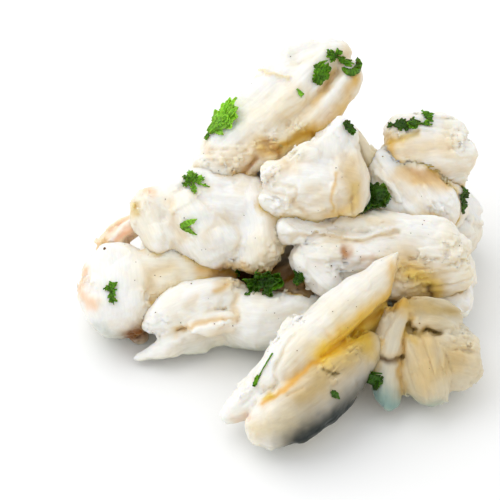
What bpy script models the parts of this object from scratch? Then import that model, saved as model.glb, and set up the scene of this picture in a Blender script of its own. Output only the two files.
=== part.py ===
"""A heap of lump crab meat with chopped parsley, as it lies when tipped out. +Z is up.

Every lump is a solid of its own: a bundle of blunt muscles, melted together, roughened and then
trimmed so that it only just misses its neighbours. The parsley is fused to the lump it lies on.
The shapes are laid out in millimetres and turned into metres at the end.
"""

import math
import random
from dataclasses import dataclass

import bmesh
import bpy
from mathutils import Matrix, Vector, noise
from mathutils.bvhtree import BVHTree

METRES_PER_MM = 0.001

# The lumps that show are laid out on the heap's front slope, as an eye square to the slope sees
# them: across to the right, uphill along the slope and outward toward the eye.
SLOPE_ANGLE = math.radians(45)
SLOPE_CENTRE = Vector((0.0, 4.4, 22.0))
RIGHT = Vector((1.0, 0.0, 0.0))
UPHILL = Vector((0.0, math.cos(SLOPE_ANGLE), math.sin(SLOPE_ANGLE)))
OUTWARD = Vector((0.0, -math.sin(SLOPE_ANGLE), math.cos(SLOPE_ANGLE)))
EYE_DISTANCE = 600.0

# A muscle: how blunt its ends are and how finely its ball is divided before it melts in.
BLUNTNESS = 2.5
MUSCLE_SIDES = 20
MUSCLE_RINGS = 14

# The lumps' surface: how finely the muscles melt together, and the crags' sizes and heights.
MELT_SIZE = 0.9
CRAGS = ((7.0, 0.8), (3.2, 0.35))
GAP = 0.3
SMALLEST_EDGE = 0.002
FLAT_ENOUGH = math.radians(5)

# The parsley.
LEAF_SINK = 0.5
LEAF_RISE = 0.45
LEAF_WAVE = 0.2

GROUND_SIZE = 300.0


def on_slope(across, up, out):
    """The point that an eye square to the front slope sees at this place, this far out of it."""
    nearness = 1 - out / EYE_DISTANCE
    return SLOPE_CENTRE + nearness * (across * RIGHT + up * UPHILL) + out * OUTWARD


def muscle_on_slope(start, middle, end, widths, flatness=1.0):
    """A muscle whose spine is given on the front slope."""
    spine = tuple(on_slope(*point) for point in (start, middle, end))
    return Muscle(spine, widths, flatness)


def muscle_inside(start, middle, end, widths, flatness=1.0):
    """A muscle whose spine is given by plain x, y and z."""
    return Muscle((Vector(start), Vector(middle), Vector(end)), widths, flatness)


@dataclass(frozen=True)
class Muscle:
    """A blunt spindle from tip to tip along an arc through three points."""

    spine: tuple
    widths: tuple
    flatness: float


@dataclass(frozen=True)
class Lump:
    """A lump of meat: its name, its muscles, the triangles it may have and its relief's seed."""

    name: str
    muscles: tuple
    triangles: int
    seed: int


@dataclass(frozen=True)
class Leaf:
    """A torn bit of parsley on a lump, placed on the front slope."""

    lump: str
    across: float
    up: float
    length: float
    width: float
    heading: float
    points: int


def front_lump():
    """The long lump that lies slantwise in front, with a finger over a rounder muscle."""
    return Lump(
        "front_lump",
        (
            muscle_on_slope((31.7, -4.8, 6.8), (14.8, -19.2, 13.4), (0.0, -33.2, 17.0), (4.6, 6.2, 5.0)),
            muscle_on_slope((20.0, -8.9, 7.0), (10.6, -19.0, 11.0), (1.6, -29.4, 13.4), (3.4, 4.0, 3.8)),
            muscle_on_slope((8.0, -16.0, 10.0), (3.0, -29.6, 13.4), (-8.6, -40.4, 15.6), (2.4, 3.7, 3.6)),
            muscle_on_slope((-2.6, -42.5, 19.0), (11.0, -36.2, 17.0), (27.2, -20.8, 8.4), (5.4, 7.2, 5.6)),
            muscle_on_slope((29.0, -12.0, 0.0), (12.0, -27.0, 5.0), (0.0, -36.0, 10.4), (6.6, 8.0, 5.6)),
        ),
        700,
        11,
    )


def front_right_lump():
    """Short upright muscles side by side, split by cracks."""
    return Lump(
        "front_right_lump",
        (
            muscle_on_slope((30.3, -23.4, 8.8), (30.1, -31.0, 9.8), (29.8, -38.2, 10.6), (3.3, 3.8, 3.6)),
            muscle_on_slope((34.0, -12.2, 5.4), (31.4, -19.6, 8.2), (28.9, -27.0, 9.6), (3.6, 4.0, 3.5)),
            muscle_on_slope((32.6, -15.6, 6.0), (38.6, -16.2, 7.4), (48.0, -17.0, 6.0), (3.8, 4.4, 3.8)),
            muscle_on_slope((36.0, -20.0, 6.0), (38.6, -28.0, 8.6), (41.0, -37.2, 10.6), (5.2, 6.2, 5.4)),
            muscle_on_slope((37.0, -23.0, 6.0), (44.6, -26.4, 7.8), (51.6, -28.0, 7.0), (5.6, 7.0, 5.2)),
            muscle_on_slope((26.6, -20.0, 1.0), (37.0, -22.0, 1.0), (50.0, -22.6, 1.6), (6.6, 8.4, 6.6)),
        ),
        600,
        23,
    )


def right_lump():
    """The wide flaky lump in the middle of the right side, with a ridge along its top."""
    return Lump(
        "right_lump",
        (
            muscle_on_slope((2.8, 1.0, -1.8), (13.8, 5.2, -2.2), (26.2, 4.0, -1.6), (3.8, 4.8, 3.6)),
            muscle_on_slope((16.6, 5.2, -2.6), (30.4, 4.0, -1.6), (46.0, 1.8, -2.4), (3.4, 4.3, 4.2)),
            muscle_on_slope((5.6, -2.2, -2.0), (20.0, -3.2, -0.8), (38.0, -1.4, -1.6), (5.2, 6.4, 5.6)),
            muscle_on_slope((6.8, -1.0, -1.0), (11.8, -6.4, 0.6), (17.4, -10.8, 1.0), (3.2, 4.0, 3.4)),
            muscle_on_slope((25.5, -9.2, -2.0), (36.2, -8.0, -1.2), (49.6, -6.2, -2.6), (5.4, 6.6, 5.4)),
            muscle_on_slope((31.5, 1.2, -1.4), (38.8, 0.0, -0.6), (49.2, -1.4, -2.0), (4.6, 5.4, 4.8)),
            muscle_on_slope((8.0, 2.0, -8.0), (24.0, 0.6, -8.0), (44.0, -1.0, -8.0), (5.0, 7.0, 6.0)),
        ),
        690,
        31,
    )


def peak_lump():
    """The crumbly lump in the middle, with a peak, an even right face and knobs on its left."""
    return Lump(
        "peak_lump",
        (
            muscle_on_slope((1.2, 13.4, -1.4), (13.2, 14.6, 0.0), (25.8, 11.6, -1.8), (7.4, 8.8, 7.0)),
            muscle_on_slope((18.0, 28.9, -3.0), (16.4, 21.6, -0.4), (15.4, 10.0, 1.2), (4.2, 7.2, 7.4)),
            muscle_on_slope((20.4, 23.0, -1.5), (22.8, 13.8, 1.0), (21.0, 5.8, 1.2), (3.6, 4.8, 4.4)),
            muscle_on_slope((0.2, 17.4, 1.4), (4.0, 17.0, 3.0), (8.4, 16.4, 3.4), (3.2, 3.8, 3.4)),
            muscle_on_slope((0.2, 11.6, 1.2), (3.6, 10.8, 2.8), (7.6, 10.0, 3.2), (3.2, 3.8, 3.4)),
            muscle_on_slope((5.2, 20.2, 1.0), (9.6, 20.6, 2.8), (14.2, 21.4, 3.0), (3.5, 4.2, 3.6)),
            muscle_on_slope((4.0, 8.6, 1.4), (9.6, 8.8, 3.2), (15.8, 9.6, 4.0), (3.0, 3.6, 3.6)),
        ),
        640,
        41,
    )


def front_left_lump():
    """The long smooth lump at the front left, drawn out to a tail."""
    return Lump(
        "front_left_lump",
        (
            muscle_on_slope((-26.4, -19.2, -0.4), (-15.6, -13.4, -0.8), (-1.2, -9.6, -3.4), (3.8, 5.2, 5.2)),
            muscle_on_slope((-20.0, -22.0, 1.4), (-12.4, -19.0, 2.6), (-4.4, -17.2, 2.2), (1.8, 2.5, 2.0)),
            muscle_on_slope((-28.2, -26.0, -2.3), (-13.4, -22.0, 0.0), (4.0, -19.4, -0.6), (0.9, 4.0, 5.8)),
            muscle_on_slope((-8.0, -12.8, -4.4), (2.4, -16.2, -2.4), (15.4, -12.6, -5.8), (6.2, 7.4, 4.8)),
            muscle_on_slope((-23.0, -17.0, -6.4), (-12.0, -15.4, -7.0), (3.0, -14.4, -7.0), (4.8, 6.6, 6.8)),
        ),
        700,
        53,
    )


def middle_left_lump():
    """The big smooth lump on the left, hanging over the hollow in the middle."""
    return Lump(
        "middle_left_lump",
        (
            muscle_on_slope((-25.6, 12.0, -8.8), (-24.2, 5.4, -5.6), (-20.4, -1.6, -4.8), (4.0, 5.0, 4.6)),
            muscle_on_slope((-25.4, 8.8, -7.0), (-11.6, 10.8, -5.0), (3.4, 8.6, -5.4), (5.4, 7.4, 6.4)),
            muscle_on_slope((-18.6, 13.0, -7.6), (-12.6, 5.0, -2.8), (-8.6, -5.0, -3.4), (6.4, 7.8, 6.0)),
            muscle_on_slope((-4.2, 13.8, -8.6), (-1.0, 4.4, -3.2), (-0.6, -6.6, -3.2), (6.6, 7.2, 6.4)),
            muscle_on_slope((-22.0, 1.6, -8.0), (-11.0, 1.0, -6.0), (3.0, 0.0, -6.0), (5.0, 5.8, 5.6)),
        ),
        680,
        61,
    )


def left_lump():
    """The round lump at the far left, with an arm that reaches under its neighbour."""
    return Lump(
        "left_lump",
        (
            muscle_on_slope((-33.4, -0.8, -13.0), (-32.2, -10.6, -6.2), (-31.4, -21.6, -3.0), (7.4, 8.8, 8.0)),
            muscle_on_slope((-31.0, -6.4, -8.0), (-20.0, -7.2, -7.4), (-9.2, -5.2, -8.4), (6.2, 6.6, 5.2)),
            muscle_on_slope((-28.4, -17.0, -4.6), (-22.0, -12.4, -5.2), (-15.0, -8.4, -8.0), (4.0, 4.8, 3.8)),
            muscle_on_slope((-29.8, -20.9, -6.8), (-27.7, -21.1, -6.6), (-25.6, -20.3, -6.8), (2.0, 2.4, 2.1)),
        ),
        600,
        71,
    )


def upper_right_lump():
    """The lump at the top of the right side, folded over itself."""
    return Lump(
        "upper_right_lump",
        (
            muscle_on_slope((28.6, 19.6, -12.0), (37.6, 20.6, -10.6), (50.5, 20.6, -11.4), (5.4, 6.8, 5.6)),
            muscle_on_slope((29.0, 25.6, -12.4), (36.4, 26.8, -11.2), (47.6, 26.0, -12.2), (3.0, 4.0, 3.6)),
            muscle_on_slope((32.6, 15.4, -12.4), (39.0, 14.0, -12.0), (48.0, 15.0, -12.2), (3.0, 4.0, 3.6)),
        ),
        480,
        83,
    )


def back_right_lump():
    """Smooth bands that slant down behind the right side."""
    return Lump(
        "back_right_lump",
        (
            muscle_on_slope((25.4, 22.2, -13.0), (31.8, 15.2, -7.6), (39.4, 5.0, -4.0), (3.8, 4.8, 4.4)),
            muscle_on_slope((23.8, 17.2, -11.0), (27.8, 10.2, -8.0), (32.0, 4.0, -5.4), (4.0, 5.2, 4.6)),
            muscle_on_slope((33.5, 18.2, -11.4), (39.6, 11.0, -8.4), (45.4, 4.6, -6.0), (4.6, 6.0, 5.0)),
        ),
        480,
        97,
    )


def top_lump():
    """The long lump on top at the back, with a smooth band along its right side."""
    return Lump(
        "top_lump",
        (
            muscle_on_slope((-13.8, 17.8, -8.6), (1.0, 30.2, -8.8), (19.8, 47.4, -12.4), (4.4, 7.3, 5.6)),
            muscle_on_slope((22.9, 42.6, -9.6), (17.4, 32.8, -6.6), (3.6, 21.8, -6.4), (3.4, 3.7, 3.2)),
            muscle_on_slope((-14.6, 18.8, -6.8), (-7.0, 18.6, -6.2), (1.4, 19.4, -6.4), (3.6, 4.6, 4.0)),
            muscle_on_slope((-2.6, 21.2, -5.4), (1.8, 22.0, -4.6), (6.8, 23.0, -5.4), (2.9, 3.5, 2.8)),
            muscle_on_slope((0.2, 38.4, -10.6), (9.8, 42.2, -10.2), (20.8, 44.4, -11.0), (3.0, 4.6, 4.2)),
        ),
        610,
        101,
    )


def behind_peak_lump():
    """The lump behind the peak, of which a narrow strip shows."""
    return Lump(
        "behind_peak_lump",
        (
            muscle_on_slope((18.2, 28.8, -9.0), (22.4, 22.8, -8.6), (24.6, 15.2, -9.0), (2.4, 3.2, 3.1)),
            muscle_on_slope((8.0, 21.6, -15.0), (18.0, 19.8, -13.0), (25.4, 15.6, -11.6), (6.4, 7.4, 5.4)),
        ),
        360,
        113,
    )


def leg_scrap():
    """The narrow scrap of leg meat that leans on the far left lump."""
    return Lump(
        "leg_scrap",
        (
            muscle_on_slope((-35.8, -1.8, -12.4), (-31.6, 2.4, -11.4), (-24.0, 7.0, -9.4), (2.0, 2.6, 2.7)),
            muscle_on_slope((-35.4, 0.4, -12.8), (-33.8, 1.0, -12.2), (-30.0, 1.2, -12.4), (2.0, 2.4, 2.0)),
        ),
        220,
        127,
    )


def inner_lumps():
    """The lumps underneath and at the back that hold the others up."""
    return (
        Lump(
            "centre_lump",
            (
                muscle_inside((-1.0, -2.0, 7.6), (14.0, 5.0, 8.4), (30.0, 8.0, 7.6), (7.0, 9.2, 7.8)),
                muscle_inside((0.0, 6.0, 10.0), (10.0, 12.0, 14.0), (22.0, 15.0, 15.0), (6.0, 7.8, 7.2)),
            ),
            330,
            131,
        ),
        Lump(
            "left_inner_lump",
            (
                muscle_inside((-28.0, 18.0, 7.4), (-14.0, 13.0, 8.0), (0.0, 12.0, 9.0), (6.6, 8.8, 8.2)),
                muscle_inside((-22.0, 22.0, 13.0), (-10.0, 20.0, 15.0), (2.0, 20.0, 16.0), (5.4, 7.2, 6.8)),
            ),
            320,
            139,
        ),
        Lump(
            "right_inner_lump",
            (
                muscle_inside((25.0, 17.0, 8.4), (38.0, 11.0, 9.0), (51.0, 6.0, 8.0), (7.0, 9.8, 7.2)),
                muscle_inside((30.0, 5.0, 7.0), (40.0, 2.0, 8.0), (50.0, -1.0, 7.5), (6.0, 7.8, 6.2)),
            ),
            330,
            149,
        ),
        Lump(
            "under_top_lump",
            (
                muscle_inside((-10.0, 31.0, 23.0), (5.0, 37.0, 27.5), (19.0, 39.0, 27.0), (7.0, 8.8, 7.2)),
                muscle_inside((-7.0, 25.0, 21.0), (5.0, 27.0, 23.0), (17.0, 30.0, 23.0), (5.0, 6.8, 6.2)),
            ),
            330,
            151,
        ),
        Lump(
            "back_left_lump",
            (
                muscle_inside((-20.0, 27.0, 8.4), (-6.0, 33.0, 9.5), (9.0, 36.0, 9.0), (7.0, 10.2, 8.4)),
                muscle_inside((-16.0, 34.0, 12.0), (-6.0, 38.0, 14.0), (4.0, 42.0, 12.0), (5.6, 7.8, 6.2)),
            ),
            350,
            163,
        ),
        Lump(
            "back_middle_lump",
            (
                muscle_inside((7.0, 40.0, 9.0), (17.0, 36.0, 9.5), (28.0, 29.0, 8.6), (7.6, 10.2, 7.4)),
                muscle_inside((11.0, 28.0, 15.0), (19.0, 29.0, 17.0), (28.0, 26.0, 14.0), (6.0, 7.8, 6.0)),
            ),
            320,
            167,
        ),
        Lump(
            "back_right_inner_lump",
            (
                muscle_inside((29.0, 31.0, 8.8), (40.0, 26.0, 10.2), (52.0, 18.0, 9.0), (7.0, 11.0, 8.2)),
                muscle_inside((32.0, 22.0, 17.0), (40.0, 20.0, 20.0), (49.0, 18.0, 18.0), (5.4, 7.4, 6.2)),
            ),
            330,
            173,
        ),
    )


def lumps():
    """All the lumps, the ones that keep their whole shape first: a later one is trimmed to fit."""
    return (
        front_lump(),
        front_right_lump(),
        right_lump(),
        peak_lump(),
        front_left_lump(),
        middle_left_lump(),
        left_lump(),
        upper_right_lump(),
        back_right_lump(),
        top_lump(),
        behind_peak_lump(),
        leg_scrap(),
        *inner_lumps(),
    )


def leaves():
    """The bits of parsley: lump, place on the slope, length, width, heading and outline points."""
    return (
        Leaf("top_lump", -6.2, 30.2, 4.6, 2.2, 58, 4),
        Leaf("middle_left_lump", -15.6, 14.4, 2.6, 2.4, 100, 4),
        Leaf("top_lump", 19.6, 42.4, 3.6, 1.8, -25, 4),
        Leaf("top_lump", 14.5, 39.0, 2.9, 1.4, 70, 4),
        Leaf("top_lump", 9.6, 35.3, 1.2, 0.6, -50, 3),
        Leaf("middle_left_lump", -15.2, 5.4, 2.3, 0.8, 18, 3),
        Leaf("middle_left_lump", -15.2, 3.1, 2.3, 0.8, -22, 3),
        Leaf("left_lump", -33.6, -11.3, 2.6, 0.9, 95, 4),
        Leaf("behind_peak_lump", 20.6, 27.0, 2.0, 1.1, -30, 3),
        Leaf("back_right_lump", 28.3, 9.8, 4.6, 3.4, 120, 4),
        Leaf("upper_right_lump", 34.6, 27.4, 4.0, 1.5, -4, 4),
        Leaf("centre_lump", 1.4, -7.9, 4.8, 2.4, 0, 4),
        Leaf("front_lump", -0.4, -31.0, 1.5, 0.6, 65, 3),
        Leaf("front_lump", 17.9, -34.5, 1.6, 0.9, -25, 3),
        Leaf("front_right_lump", 27.2, -31.0, 3.0, 1.0, 95, 3),
    )


def main():
    """Clears the scene, then builds the lumps, trims them and lays the parsley on."""
    clear_scene()
    heap = new_collection("lump_crab_meat")
    helpers = new_collection("helpers")
    bodies = {lump.name: melted_lump(lump, heap) for lump in lumps()}
    cutters = {name: swollen(body, helpers) for name, body in bodies.items()}
    trim_to_fit(bodies, cutters, ground_block(helpers))
    lay_parsley(bodies, cutters, helpers)
    for body in bodies.values():
        tidy(body)
    remove_all(helpers)
    stand_at_origin(list(bodies.values()))


def clear_scene():
    """Removes what the startup scene holds."""
    for thing in list(bpy.data.objects):
        bpy.data.objects.remove(thing, do_unlink=True)


def new_collection(name):
    """A collection linked to the scene."""
    collection = bpy.data.collections.new(name)
    bpy.context.scene.collection.children.link(collection)
    return collection


def new_body(name, mesh_builder, collection):
    """An object whose mesh is taken from the bmesh, which is freed."""
    mesh = bpy.data.meshes.new(name)
    mesh_builder.to_mesh(mesh)
    mesh_builder.free()
    body = bpy.data.objects.new(name, mesh)
    collection.objects.link(body)
    return body


def as_helper(body):
    """Marks a body as a cutter that isn't part of the heap."""
    body.hide_render = True
    body.display_type = "WIRE"
    return body


def remove_all(collection):
    """Removes a collection and its objects."""
    for thing in list(collection.objects):
        bpy.data.objects.remove(thing, do_unlink=True)
    bpy.data.collections.remove(collection)


def ground_block(helpers):
    """A block that fills everything below the ground."""
    block = bmesh.new()
    lower = Matrix.Translation((0.0, 0.0, -0.5 * GROUND_SIZE))
    bmesh.ops.create_cube(block, size=GROUND_SIZE, matrix=lower)
    return as_helper(new_body("ground", block, helpers))


def along_arc(values, share):
    """The value at this share of the way along an arc through three values."""
    first, middle, last = values
    return (
        first * (1 - share) * (1 - 2 * share)
        + middle * 4 * share * (1 - share)
        + last * share * (2 * share - 1)
    )


def muscle_point(muscle, ball_point):
    """Where a point of the unit ball goes on the muscle. The ball's poles are the muscle's tips."""
    share = 0.5 + 0.5 * ball_point.z
    centre = along_arc(muscle.spine, share)
    ahead = along_arc(muscle.spine, share + 0.01) - along_arc(muscle.spine, share - 0.01)
    side = ahead.cross(OUTWARD).normalized()
    lift = side.cross(ahead).normalized()
    fullness = max(0.0, 1 - abs(ball_point.z) ** BLUNTNESS) ** (1 / BLUNTNESS)
    radius = fullness * along_arc(muscle.widths, share)
    around = math.atan2(ball_point.y, ball_point.x)
    return centre + radius * (math.cos(around) * side + muscle.flatness * math.sin(around) * lift)


def muscle_bundle(muscles):
    """The muscles of one lump as closed shells that pass through each other."""
    bundle = bmesh.new()
    for muscle in muscles:
        ball = bmesh.ops.create_uvsphere(
            bundle, u_segments=MUSCLE_SIDES, v_segments=MUSCLE_RINGS, radius=1.0
        )
        for vertex in ball["verts"]:
            vertex.co = muscle_point(muscle, vertex.co.copy())
    bmesh.ops.recalc_face_normals(bundle, faces=bundle.faces)
    return bundle


def melted_lump(lump, heap):
    """One lump: its muscles melted together, roughened and thinned to its share of triangles."""
    body = new_body(lump.name, muscle_bundle(lump.muscles), heap)
    melt = body.modifiers.new("melt", "REMESH")
    melt.mode = "VOXEL"
    melt.voxel_size = MELT_SIZE
    bake(body)
    roughen(body, lump.seed)
    thin = body.modifiers.new("thin", "DECIMATE")
    thin.ratio = lump.triangles / triangle_count(body)
    bake(body)
    keep_largest(body)
    body.data.materials.append(plain_material(lump.name))
    return body


def bake(body):
    """Replaces a body's mesh by what its modifiers make of it."""
    graph = bpy.context.evaluated_depsgraph_get()
    baked = bpy.data.meshes.new_from_object(body.evaluated_get(graph))
    body.modifiers.clear()
    body.data = baked


def triangle_count(body):
    """How many triangles a body has."""
    body.data.calc_loop_triangles()
    return len(body.data.loop_triangles)


def roughen(body, seed):
    """Moves the surface in and out with noise of two sizes, which gives the lump its crags."""
    offset = Vector((seed * 3.7, seed * 1.3, seed * 2.1))
    mesh = body.data
    moves = []
    for vertex in mesh.vertices:
        rise = sum(height * noise.noise(vertex.co / size + offset) for size, height in CRAGS)
        moves.append(vertex.normal * rise)
    for vertex, move in zip(mesh.vertices, moves):
        vertex.co += move


def plain_material(name):
    """The body's own material, in the colour of cooked crab."""
    material = bpy.data.materials.new(name)
    material.use_nodes = True
    surface = material.node_tree.nodes["Principled BSDF"]
    surface.inputs["Base Color"].default_value = (0.84, 0.80, 0.70, 1.0)
    surface.inputs["Roughness"].default_value = 0.45
    return material


def combine(body, tool, operation):
    """Joins the tool to the body or takes it away."""
    step = body.modifiers.new(operation.lower(), "BOOLEAN")
    step.operation = operation
    step.object = tool
    step.solver = "EXACT"
    bake(body)


def box_of(body):
    """The lowest and highest corner of a body that stands at the origin."""
    points = [vertex.co for vertex in body.data.vertices]
    low = Vector([min(point[axis] for point in points) for axis in range(3)])
    high = Vector([max(point[axis] for point in points) for axis in range(3)])
    return low, high


def boxes_meet(first, second):
    """Whether two bodies' boxes share any space."""
    low_a, high_a = box_of(first)
    low_b, high_b = box_of(second)
    return all(low_a[axis] < high_b[axis] and low_b[axis] < high_a[axis] for axis in range(3))


def swollen(body, helpers):
    """A cutter in the shape of the body, larger by the gap all round."""
    cutter = bpy.data.objects.new(body.name + "_cutter", body.data.copy())
    helpers.objects.link(cutter)
    swell = cutter.modifiers.new("swell", "DISPLACE")
    swell.strength = GAP
    swell.mid_level = 0.0
    bake(cutter)
    return as_helper(cutter)


def trim_to_fit(bodies, cutters, ground):
    """Takes from each lump what is below the ground and the room of the lumps before it."""
    earlier = []
    for name, body in bodies.items():
        for cutter in [ground, *earlier]:
            if boxes_meet(body, cutter):
                combine(body, cutter, "DIFFERENCE")
        keep_largest(body)
        earlier.append(cutters[name])


def keep_largest(body):
    """Drops every part of a body except the one with the most volume, and fills its hollows."""
    builder = bmesh.new()
    builder.from_mesh(body.data)
    parts = connected_parts(builder)
    largest = max(parts, key=part_volume)
    loose = [face for part in parts if part is not largest for face in part]
    bmesh.ops.delete(builder, geom=loose, context="FACES")
    builder.to_mesh(body.data)
    builder.free()


def connected_parts(builder):
    """The faces of a bmesh, grouped by what hangs together."""
    parts = []
    seen = set()
    for start in builder.faces:
        if start in seen:
            continue
        seen.add(start)
        part = [start]
        for face in part:
            for edge in face.edges:
                for neighbour in edge.link_faces:
                    if neighbour not in seen:
                        seen.add(neighbour)
                        part.append(neighbour)
        parts.append(part)
    return parts


def part_volume(part):
    """The volume that a closed group of faces holds, negative when it is a hollow."""
    volume = 0.0
    for face in part:
        corners = [vertex.co for vertex in face.verts]
        for second, third in zip(corners[1:], corners[2:]):
            volume += corners[0].dot(second.cross(third)) / 6
    return volume


def lay_parsley(bodies, cutters, helpers):
    """Fuses each bit of parsley to its lump, cut back where another lump is in the way."""
    for number, leaf in enumerate(leaves()):
        host = bodies[leaf.lump]
        piece = new_body(f"leaf_{number}", draped_leaf(leaf, host, number), helpers)
        for name, cutter in cutters.items():
            if name != leaf.lump and boxes_meet(piece, cutter):
                combine(piece, cutter, "DIFFERENCE")
        combine(host, piece, "UNION")


def draped_leaf(leaf, host, seed):
    """A thin wavy leaf that follows the surface of its lump, partly sunk into it."""
    tree = surface_tree(host)
    middle, normal = seen_from_eye(tree, leaf.across, leaf.up)
    heading = math.radians(leaf.heading)
    direction = math.cos(heading) * RIGHT + math.sin(heading) * UPHILL
    ahead = (direction - direction.dot(normal) * normal).normalized()
    side = normal.cross(ahead)
    outline = leaf_outline(leaf, random.Random(seed))
    builder = bmesh.new()
    rims = []
    centres = []
    for lift in (-LEAF_SINK, LEAF_RISE):
        centres.append(builder.verts.new(middle + lift * normal))
        rim = []
        for number, (forward, sideways) in enumerate(outline):
            flat = middle + forward * ahead + sideways * side
            place = settled(tree, flat, normal)
            wave = LEAF_WAVE * math.sin(2.4 * number)
            rim.append(builder.verts.new(place + (lift + wave) * normal))
        rims.append(rim)
    close_leaf(builder, centres, rims)
    return builder


def close_leaf(builder, centres, rims):
    """Fans both faces of a leaf alike and joins their rims by a wall."""
    lower, upper = rims
    count = len(lower)
    for number in range(count):
        following = (number + 1) % count
        builder.faces.new((centres[1], upper[number], upper[following]))
        builder.faces.new((centres[0], lower[following], lower[number]))
        builder.faces.new((lower[number], lower[following], upper[following]))
        builder.faces.new((lower[number], upper[following], upper[number]))
    bmesh.ops.recalc_face_normals(builder, faces=builder.faces)


def leaf_outline(leaf, chance):
    """Points round a leaf's edge, far out at its teeth and further in between them."""
    outline = []
    count = 2 * leaf.points
    for number in range(count):
        angle = 2 * math.pi * number / count
        reach = 1.0 if number % 2 == 0 else chance.uniform(0.55, 0.75)
        reach *= chance.uniform(0.88, 1.08)
        outline.append((reach * leaf.length * math.cos(angle), reach * leaf.width * math.sin(angle)))
    return outline


def surface_tree(body):
    """A search tree over a body's surface."""
    builder = bmesh.new()
    builder.from_mesh(body.data)
    tree = BVHTree.FromBMesh(builder)
    builder.free()
    return tree


def seen_from_eye(tree, across, up):
    """The point of a surface, and its normal, that the eye sees at this place on the slope."""
    eye = on_slope(0.0, 0.0, 0.0) + EYE_DISTANCE * OUTWARD
    sight = (on_slope(across, up, 0.0) - eye).normalized()
    place, normal, _, _ = tree.ray_cast(eye, sight)
    if place is None:
        place, normal, _, _ = tree.find_nearest(on_slope(across, up, 0.0))
    return place, normal


def settled(tree, flat, normal):
    """The point of the surface straight below or above a point of a flat leaf."""
    reach = 4.0
    place, _, _, _ = tree.ray_cast(flat + reach * normal, -normal, 2 * reach)
    return flat if place is None else place


def tidy(body):
    """Merges what nearly coincides, drops scraps and leaves plain triangles."""
    builder = bmesh.new()
    builder.from_mesh(body.data)
    bmesh.ops.remove_doubles(builder, verts=builder.verts, dist=SMALLEST_EDGE)
    bmesh.ops.dissolve_degenerate(builder, edges=builder.edges, dist=SMALLEST_EDGE)
    bmesh.ops.dissolve_limit(
        builder, angle_limit=FLAT_ENOUGH, verts=builder.verts, edges=builder.edges
    )
    bmesh.ops.triangulate(builder, faces=builder.faces)
    builder.to_mesh(body.data)
    builder.free()
    keep_largest(body)


def stand_at_origin(bodies):
    """Puts the origin at the middle of the heap's footprint and turns millimetres into metres."""
    boxes = [box_of(body) for body in bodies]
    low = Vector([min(box[0][axis] for box in boxes) for axis in range(3)])
    high = Vector([max(box[1][axis] for box in boxes) for axis in range(3)])
    middle = Vector(((low.x + high.x) / 2, (low.y + high.y) / 2, low.z))
    to_metres = Matrix.Scale(METRES_PER_MM, 4) @ Matrix.Translation(-middle)
    for body in bodies:
        body.data.transform(to_metres)


main()
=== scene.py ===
import itertools
import math
import random
from dataclasses import dataclass, field, replace

import bmesh
import bpy
import numpy as np
from mathutils import Matrix, Vector, noise
from mathutils.bvhtree import BVHTree


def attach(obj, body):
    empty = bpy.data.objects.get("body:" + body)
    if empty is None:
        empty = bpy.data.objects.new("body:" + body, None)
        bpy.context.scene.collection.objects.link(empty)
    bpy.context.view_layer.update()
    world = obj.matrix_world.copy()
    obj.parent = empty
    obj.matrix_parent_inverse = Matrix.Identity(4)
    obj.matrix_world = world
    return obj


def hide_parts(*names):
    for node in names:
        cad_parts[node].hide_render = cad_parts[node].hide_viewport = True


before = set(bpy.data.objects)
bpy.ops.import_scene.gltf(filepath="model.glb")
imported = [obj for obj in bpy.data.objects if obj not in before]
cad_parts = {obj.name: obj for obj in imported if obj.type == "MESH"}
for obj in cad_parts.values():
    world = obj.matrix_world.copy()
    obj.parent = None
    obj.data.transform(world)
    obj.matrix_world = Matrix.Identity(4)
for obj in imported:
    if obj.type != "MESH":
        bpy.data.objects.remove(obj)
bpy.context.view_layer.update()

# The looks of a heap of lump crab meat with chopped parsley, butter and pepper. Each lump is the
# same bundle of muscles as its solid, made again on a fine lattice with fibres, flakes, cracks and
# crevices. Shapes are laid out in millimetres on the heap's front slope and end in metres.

METRES_PER_MM = 0.001

# The lumps that show are laid out on the heap's front slope, as an eye square to the slope sees
# them: across to the right, uphill along the slope and outward toward the eye.
SLOPE_ANGLE = math.radians(45)
SLOPE_CENTRE = np.array((0.0, 4.4, 22.0))
RIGHT = np.array((1.0, 0.0, 0.0))
UPHILL = np.array((0.0, math.cos(SLOPE_ANGLE), math.sin(SLOPE_ANGLE)))
OUTWARD = np.array((0.0, -math.sin(SLOPE_ANGLE), math.cos(SLOPE_ANGLE)))
EYE_DISTANCE = 600.0

# Where the heap's own origin lies in the layout.
HEAP_MIDDLE = np.array((6.08, 2.765, 0.0))

# A muscle: how blunt its ends are, and into how many straight pieces its spine is cut.
BLUNTNESS = 2.5
SPINE_PIECES = 12

# Flats where flesh has broken off: where along the muscle, how deep as a share of its thickness,
# how much they lean toward the eye, how square they lie to the muscle and how round their edges are.
FLAT_SHARES = (0.15, 0.85)
FLAT_DEPTHS = (0.06, 0.16)
FLAT_LEAN = 0.9
FLAT_SQUARENESS = 0.8
FLAT_EDGE = 0.9

# The lattice that the lumps are worked out on, and the room left around a muscle, in mm. The fields
# of all muscles, and the inner lumps as a whole, are worked out at one point in STRIDES each way.
# Relief is worked out near the surface alone, and outside its own box a field counts as far away.
LATTICE_STEP = 0.33
STRIDES = 2
ROOM_AROUND = 3.0
NEAR_SURFACE = 1.6
FAR_AWAY = 9.0

# Where two lumps meet, in mm: how deep the later one reaches into the earlier one, how near they
# begin to run together in a crease, and how much that run-in is held back.
BITE = 0.15
RUN_IN = 1.7
RUN_IN_EDGE = 0.14

# Bumps of several sizes, and how far marks and torn spots wander: each pair is a size and a height
# or a reach in mm.
CRAGS = ((7.0, 0.8), (3.2, 0.35))
FIBRES = ((1.5, 0.20), (0.7, 0.11))
PITS = ((1.9, 0.12), (0.8, 0.07))
WANDERS = ((3.4, 0.9), (1.2, 0.35))

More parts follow.
